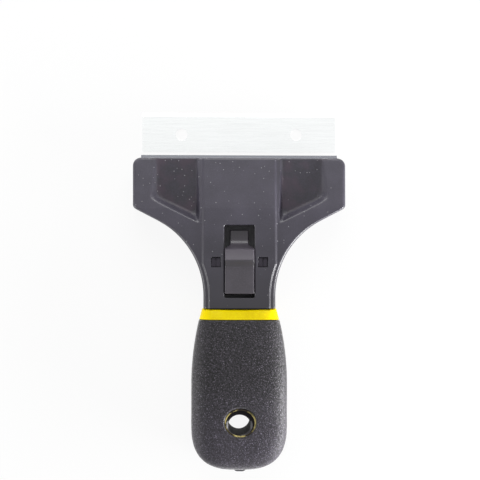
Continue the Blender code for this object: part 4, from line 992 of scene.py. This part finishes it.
def grained(rings, width, depth):
    """Rings moved along their own normals by two sizes of noise, and not at the front lip."""
    along = np.gradient(rings, axis=0)
    around = np.roll(rings, -1, axis=1) - np.roll(rings, 1, axis=1)
    normal = np.cross(around, along)
    normal /= np.maximum(np.linalg.norm(normal, axis=-1, keepdims=True), 1e-12)
    middle = rings.mean(axis=1, keepdims=True)
    normal *= np.sign(np.sum(normal * (rings - middle), axis=(-1, -2), keepdims=True))
    coarse, fine = lattice_noise(rings, width), lattice_noise(rings + 1.0, width / 2)
    bumps = coarse * COARSE_SHARE + fine * (1 - COARSE_SHARE)
    bumps[:LIP_RINGS] = 0
    # The grain is cut into the surface, so that it stays within the grip's size.
    return rings + normal * ((bumps - 1) / 2 * depth)[..., None]


def hole_tool(name, radius, lead, low, high, tall=1.0, ahead=0.0):
    """Cutter for a hole on the hang hole's axis, widened by a lead of 45 degrees at both faces. Its length
    along the handle is a share of its width, and it may sit a little ahead of the axis."""
    middle = (0, MOUTH - HANG_STATION + ahead)
    rings = []
    for grow, z in ((lead + OVER, low - OVER), (0, low + lead), (0, high - lead), (lead + OVER, high + OVER)):
        outline = ellipse(middle, radius + grow, (radius + grow) * tall)
        rings.append(np.column_stack([outline, np.full(len(outline), z)]))
    return tube(name, rings)


def grip_skin(shape):
    """The grip's outside with its grain, hollowed by the same form moved inwards, with its two openings."""
    skin = tube("grip_skin", grained(handle_rings(GRIP_GRID), shape.grain_width, shape.grain_depth))
    inside = handle_rings(GRIP_BORE_GRID, GRIP_WALL)
    bore = tube("grip_bore", np.concatenate([inside[:1] + (0, 3 * OVER, 0), inside]))
    hole = hole_tool("grip_hole", HOLE_RADIUS, GRIP_HOLE_CHAMFER, *handle_heights(HANG_STATION))
    wide, tall = TIP_OPENING
    middle, end = sum(handle_heights(DOME_START)) / 2, MOUTH - GRIP_END
    tip = block("tip_opening", (-wide, end - 3 * OVER, middle - tall), (wide, end + 6 * OVER, middle + tall))
    return combined(skin, [bore, hole, tip])


def read_vectors(items, name):
    """Each point's place, or each face's centre or normal."""
    values = np.empty(len(items) * 3, np.float32)
    items.foreach_get(name, values)
    return values.reshape(-1, 3).astype(float)


def write_points(mesh, points):
    mesh.vertices.foreach_set("co", points.astype(np.float32).ravel())
    mesh.update()


# The recess finish covers a pocket's floor from behind the nose on, and fades out up its walls.
RECESS_START = 0.4 * MM
RECESS_BELOW = 0.05 * MM
RECESS_ABOVE = 0.9 * MM
RECESS_FADE = 0.6 * MM


def mark_recess(mesh, share):
    """Writes the recess attribute, from 0 to 1 at each point."""
    mesh.attributes.new("recess", "FLOAT", "POINT").data.foreach_set("value", np.asarray(share, np.float32))


def pocket_share(points):
    """1 on the pockets' floors, and a cubic step down to 0 on the lowest part of their walls."""
    x, y, z = points.T
    distances = MOUTH - y
    inside = (z > POCKET_FLOOR - RECESS_BELOW) & (np.abs(x) > POCKET_INNER) & (np.abs(x) < POCKET_OUTER)
    inside &= (distances < POCKET_INNER_END) & (distances > RECESS_START)
    return np.where(inside, smooth_step((POCKET_FLOOR + RECESS_ABOVE - z) / RECESS_FADE), 0.0)


def from_hang_hole(points):
    """Distance of each point from the hang hole's axis."""
    return np.hypot(points[:, 0], points[:, 1] - MOUTH + HANG_STATION)


def shape_hole_rim(mesh):
    """Makes the upper rim of the hang hole in grip and yellow layer a slightly flat oval that sits towards
    the mouth and to the right of the tunnel. The move fades out in cubic steps beyond the rim and below."""
    points = read_vectors(mesh.vertices, "co")
    fade = smooth_step((RIM_FADE - from_hang_hole(points)) / (RIM_FADE - HOLE_RADIUS - OVER))
    fade *= smooth_step((points[:, 2] - RIM_FADE_LOW) / RIM_FADE_RUN)
    points[:, 0] += fade * (RIM_RIGHT + (RIM_WIDE - 1) * points[:, 0])
    points[:, 1] += fade * (RIM_AHEAD + (RIM_TALL - 1) * (points[:, 1] - MOUTH + HANG_STATION))
    write_points(mesh, points)


def second_finish(piece, finish, chosen):
    """Gives the chosen faces another finish than the rest."""
    polygons = piece.data.polygons
    index = np.zeros(len(polygons), np.int32)
    polygons.foreach_get("material_index", index)
    index[chosen] = len(piece.data.materials)
    piece.data.materials.append(finish)
    polygons.foreach_set("material_index", index)


def bow_front(mesh):
    """Moves the collar's front edge back, and further by a parabola across its width. The move fades out
    along the collar."""
    points = read_vectors(mesh.vertices, "co")
    front = points[:, 1].max()
    half = np.abs(points[points[:, 1] > front - OVER][:, 0]).max()
    fade = np.clip(1 - (front - points[:, 1]) / COLLAR_FADE, 0, 1)
    points[:, 1] -= fade * (COLLAR_BACK + COLLAR_BOW * np.clip(1 - (points[:, 0] / half) ** 2, 0, 1))
    write_points(mesh, points)


def core_face():
    """Disc that widens the core's upper face to the oval of the rim."""
    high = handle_heights(HANG_STATION)[1]
    middle = (RIM_RIGHT, MOUTH - HANG_STATION + RIM_AHEAD)
    plan = ellipse(middle, RIM_WIDE * CORE_FACE_RADIUS, RIM_TALL * CORE_FACE_RADIUS)
    return prism("core_face", plan, high - RIM_FADE_RUN, high - CORE_SINK)


def butt_tip(middle):
    """The core's tip at the butt: rounded rectangles that close over the end, and whose width and height
    follow the arc cosine of how far they stand out, to a power that makes each side view a full bump."""
    rings = []
    # The last ring stops a little before the end, and its flat cap closes it.
    for out in np.linspace(0, TIP_LAST_SHARE, TIP_RINGS):
        size = (math.acos(2 * out - 1) / math.pi) ** TIP_POWER
        plan = rounded_rectangle(*(half * size for half in (*TIP_HALF, TIP_CORNER))) + (TIP_RIGHT, 0)
        y = MOUTH - GRIP_END - OVER + TIP_PROUD * (1 - out)
        rings.append(np.column_stack([plan[:, 0], np.full(len(plan), y), middle + plan[:, 1]]))
    return tube("butt_tip", rings)


def shape_housing(housing):
    """Moves the snap posts with the windows, with shallower slits, rounds the tip at the butt, widens the
    core's upper face to the rim and cuts the tunnel through it again."""
    low, high = handle_heights(HANG_STATION)
    middle = sum(handle_heights(DOME_START)) / 2
    top = float(face_height(WINDOW_STATION)) + BAND_STEP - POST_DEPTH
    half_x, half_y = WINDOW_HALF - POST_CLEARANCE, WINDOW_LENGTH / 2 - POST_CLEARANCE
    y, end = MOUTH - WINDOW_STATION, MOUTH - GRIP_END - OVER
    tip_low = (-5 * OVER, end - OVER, middle - 4 * OVER)
    cuts = [block("tip_end", tip_low, (5 * OVER, end + TIP_PROUD, middle + 4 * OVER))]
    joins, grooves = [core_face(), butt_tip(middle)], []
    for side in (-1, 1):
        x = side * WINDOW_CENTRE
        for name, made, wide, behind, ahead, below, above in (
            ("post_end", cuts, 3 * OVER, 3 * OVER, 4 * OVER, 2 * OVER, OVER),
            ("post", joins, half_x, half_y, half_y, 3 * OVER, 0),
            ("post_groove", grooves, GROOVE_HALF, 4 * OVER, 4 * OVER, GROOVE_DEPTH, OVER),
        ):
            corners = (x - wide, y - behind, top - below), (x + wide, y + ahead, top + above)
            made.append(block(f"{name}_{side}", *corners))
    combined(housing, cuts)
    combined(housing, joins, "UNION")
    ends = (low + CORE_SINK, high - CORE_SINK)
    tunnel = hole_tool("tunnel", TUNNEL_RADIUS, TUNNEL_FUNNEL, *ends, TUNNEL_TALL, -TUNNEL_BEHIND)
    return combined(housing, [*grooves, tunnel])


# Pieces that keep their CAD form

WELD = 0.001 * MM
FLAT_ANGLE = math.radians(0.5)
ROUNDED_ANGLE = math.radians(28)


def merged(node, name):
    """Copy of a CAD piece, merged, with its flats rejoined."""
    mesh = bpy.data.meshes.new(name)
    bm = bmesh.new()
    bm.from_mesh(frame["nodes"][node].data)
    bmesh.ops.remove_doubles(bm, verts=bm.verts, dist=WELD)
    bmesh.ops.dissolve_limit(bm, angle_limit=FLAT_ANGLE, verts=bm.verts, edges=bm.edges)
    for face in bm.faces:
        face.material_index = 0
    bm.to_mesh(mesh)
    bm.free()
    return add_piece(name, mesh)


def rounded(piece, width):
    """Rounds a piece's edges."""
    rounding = piece.modifiers.new("rounded_edges", "BEVEL")
    rounding.width = width
    rounding.segments = 2
    rounding.limit_method = "ANGLE"
    rounding.angle_limit = ROUNDED_ANGLE
    rounding.harden_normals = True
    return piece


def dressed(node, name, width):
    return rounded(merged(node, name), width)


# Places on the housing that get another finish, and how far a blade's normal leans on its ground edge.
TUNNEL_SKIN = 0.2 * MM
POST_REACH = 3 * MM
POST_FLOOR = 14 * MM
GROUND_SLANT = (0.9, 0.9995)
BLADE_CRISP = math.radians(3)


class SCRAPER_OT_head(bpy.types.Operator):
    """Dresses the front cover and the rear housing"""

    bl_idname = "scraper.head"
    bl_label = "Head"

    def execute(self, context):
        settings = context.scene
        colours = settings.scraper_colours
        finish = {"tint": colours.head, "roughness": 0.38, "neck_shade_and_dust": True}
        plastic = moulded_plastic("moulded_abs", **finish)
        etched_and_shaded = moulded_plastic("moulded_abs_with_etched_recess", recess=colours.recess, **finish)
        cover = cover_shell()
        mark_recess(cover.data, pocket_share(read_vectors(cover.data.vertices, "co")))
        finished(cover, etched_and_shaded, "front_cover")
        housing = shape_housing(merged("rear_housing", "rear_housing_shell"))
        rounded(housing, settings.scraper_shape.edge_round)
        finished(housing, plastic, "rear_housing")
        # The inside of the hang hole is painted darker than the housing, as painted shade, and has a duller
        # finish.
        bore = moulded_plastic("unpolished_abs_core", colours.bore, roughness=0.75, shine=0.1)
        centres = read_vectors(housing.data.polygons, "center")
        second_finish(housing, bore, from_hang_hole(centres) < TUNNEL_RADIUS + TUNNEL_SKIN)
        # The snap posts' tops are painted darker than the housing, as painted shade in the windows.
        posts = (np.abs(centres[:, 1] - MOUTH + WINDOW_STATION) < POST_REACH) & (centres[:, 2] > POST_FLOOR)
        shaded_post_tops = moulded_plastic("etched_snap_posts", colours.posts, roughness=0.55, shine=0.3)
        second_finish(housing, shaded_post_tops, posts)
        return {"FINISHED"}


class SCRAPER_OT_slide(bpy.types.Operator):
    """Dresses the thumb slide"""

    bl_idname = "scraper.slide"
    bl_label = "Thumb slide"

    def execute(self, context):
        settings = context.scene
        tint = settings.scraper_colours.slide
        # The crest is painted paler as painted light, and the slope behind it dark as painted shade.
        plastic = moulded_plastic("moulded_slide_abs", tint, roughness=0.34, crest_light_and_slope_shade=True)
        finished(slide_button(), plastic, "thumb_slide")
        return {"FINISHED"}


class SCRAPER_OT_handle(bpy.types.Operator):
    """Dresses the yellow layer and the soft grip"""

    bl_idname = "scraper.handle"
    bl_label = "Handle"

    def execute(self, context):
        settings = context.scene
        colours = settings.scraper_colours
        yellow = moulded_plastic("moulded_yellow_polypropylene", colours.collar, roughness=0.36, shine=0.12)
        sleeve = dressed("yellow_sleeve", "yellow_layer", settings.scraper_shape.edge_round)
        bow_front(sleeve.data)
        near = from_hang_hole(read_vectors(sleeve.data.polygons, "center")) < HOLE_RADIUS + OVER
        shape_hole_rim(sleeve.data)
        finished(sleeve, yellow, "yellow_sleeve")
        second_finish(sleeve, smeared_plastic("smeared_polypropylene_rim", colours.rim, colours.smear), near)
        rubber = etched_rubber("etched_soft_rubber", colours.grip, settings.scraper_shape.grain_width)
        skin = grip_skin(settings.scraper_shape)
        shape_hole_rim(skin.data)
        finished(skin, rubber, "soft_grip")
        return {"FINISHED"}


class SCRAPER_OT_blades(bpy.types.Operator):
    """Dresses the fitted blade and the spare blade"""

    bl_idname = "scraper.blades"
    bl_label = "Blades"

    def execute(self, context):
        settings = context.scene
        colours = settings.scraper_colours
        steel = rolled_steel("rolled_carbon_steel", colours.blade, roughness=0.28)
        # The fitted blade's ground edge is painted dark grey, as painted shade at the mouth.
        ground = rolled_steel("ground_steel_edge", colours.ground, roughness=0.42)
        for node in ("fitted_blade", "spare_blade"):
            blade = dressed(node, node + "_strip", settings.scraper_shape.small_round)
            finished(blade, steel, node, BLADE_CRISP)
            if node == "fitted_blade":
                upward = np.abs(read_vectors(blade.data.polygons, "normal")[:, 2])
                second_finish(blade, ground, (upward > GROUND_SLANT[0]) & (upward < GROUND_SLANT[1]))
        return {"FINISHED"}


class SCRAPER_OT_inside(bpy.types.Operator):
    """Dresses the carrier, its pegs, the screw and the detent springs"""

    bl_idname = "scraper.inside"
    bl_label = "Inner pieces"

    def execute(self, context):
        settings = context.scene
        colours = settings.scraper_colours
        nylon = moulded_plastic("glass_filled_nylon", colours.carrier, roughness=0.5)
        steel = rolled_steel("drawn_spring_steel", colours.spring, roughness=0.35)
        carrier = dressed("blade_carrier", "blade_carrier_moulding", settings.scraper_shape.small_round)
        finished(carrier, nylon, "blade_carrier")
        metal = ["blade_peg_left", "blade_peg_right", "slide_screw"]
        metal += ["detent_spring_left", "detent_spring_right"]
        for node in metal:
            piece = dressed(node, node + "_metal", settings.scraper_shape.small_round)
            finished(piece, steel, node)
        return {"FINISHED"}


# Studio

SENSOR_WIDTH = 36.0
FLOOR_REACH = 20.0
FLOOR_GAP = 0.05 * MM
LAMP_TARGET = (0.0, 0.0, 10 * MM)
# Each softbox's place, and its width and height.
LAMPS = {
    "right": ((0.36, -0.16, 0.07), (0.26, 0.1)),
    "left": ((-0.4, -0.12, 0.1), (0.3, 0.14)),
    "front": ((0.0, 0.45, 0.22), (0.6, 0.14)),
    "top": ((0.0, 0.46, 0.45), (0.8, 0.2)),
}


def softbox(name, place, size, watts):
    """Rectangular lamp, turned to the target."""
    light = bpy.data.lights.new(name, "AREA")
    light.shape = "RECTANGLE"
    light.size, light.size_y = size
    light.energy = watts
    lamp = bpy.data.objects.new(name, light)
    x, y, z = np.array(LAMP_TARGET) - place
    lamp.location = place
    lamp.rotation_euler = (QUARTER + math.atan2(z, math.hypot(x, y)), 0.0, math.atan2(y, x) - QUARTER)
    bpy.context.scene.collection.objects.link(lamp)


class SCRAPER_OT_studio(bpy.types.Operator):
    """Adds the camera, the floor and the soft studio light"""

    bl_idname = "scraper.studio"
    bl_label = "Studio"

    def execute(self, context):
        scene = context.scene
        studio = scene.scraper_studio
        lens = bpy.data.cameras.new("camera")
        lens.lens = studio.focal_length
        lens.sensor_width = SENSOR_WIDTH
        camera = bpy.data.objects.new("camera", lens)
        camera.location = (-studio.camera_left, studio.camera_ahead, studio.camera_height)
        camera.rotation_euler = studio.camera_turn
        scene.collection.objects.link(camera)
        scene.camera = camera

        mesh = bpy.data.meshes.new("floor")
        corners = [(x * FLOOR_REACH, y * FLOOR_REACH, 0) for x, y in ((-1, -1), (1, -1), (1, 1), (-1, 1))]
        mesh.from_pydata(corners, [], [(0, 1, 2, 3)])
        floor = bpy.data.objects.new("floor", mesh)
        floor.location.z = CAD_BOX[0][2] - FLOOR_GAP
        mesh.materials.append(matt_paper("matt_paper", studio.floor, studio.floor_glow))
        scene.collection.objects.link(floor)

        for side, (place, size) in LAMPS.items():
            softbox(f"{side}_softbox", place, size, getattr(studio, f"{side}_box"))
        scene.world = even_sky("even_sky", studio.sky)
        scene.view_settings.view_transform = "Standard"
        return {"FINISHED"}


class SCRAPER_PT_panel(bpy.types.Panel):
    """Lists the scraper's pieces and settings"""

    bl_label = "Safety scraper"
    bl_idname = "SCRAPER_PT_panel"
    bl_space_type = "VIEW_3D"
    bl_region_type = "UI"
    bl_category = "Scraper"

    def draw(self, context):
        for operator in OPERATORS:
            self.layout.operator(operator.bl_idname)
        for group in SETTINGS:
            box = self.layout.box()
            settings = getattr(context.scene, group)
            for name in settings.bl_rna.properties.keys():
                if name not in ("rna_type", "name"):
                    box.prop(settings, name)


SETTINGS = {"scraper_shape": ScraperShape, "scraper_colours": ScraperColours, "scraper_studio": ScraperStudio}
OPERATORS = (
    SCRAPER_OT_studio,
    SCRAPER_OT_head,
    SCRAPER_OT_slide,
    SCRAPER_OT_handle,
    SCRAPER_OT_blades,
    SCRAPER_OT_inside,
)
CLASSES = (*SETTINGS.values(), *OPERATORS, SCRAPER_PT_panel)


def register():
    for cls in CLASSES:
        bpy.utils.register_class(cls)
    for name, group in SETTINGS.items():
        setattr(bpy.types.Scene, name, bpy.props.PointerProperty(type=group))


def unregister():
    for name in SETTINGS:
        delattr(bpy.types.Scene, name)
    for cls in reversed(CLASSES):
        bpy.utils.unregister_class(cls)


def main():
    register()
    for operator in OPERATORS:
        category, action = operator.bl_idname.split(".")
        getattr(getattr(bpy.ops, category), action)()


if __name__ == "__main__":
    main()
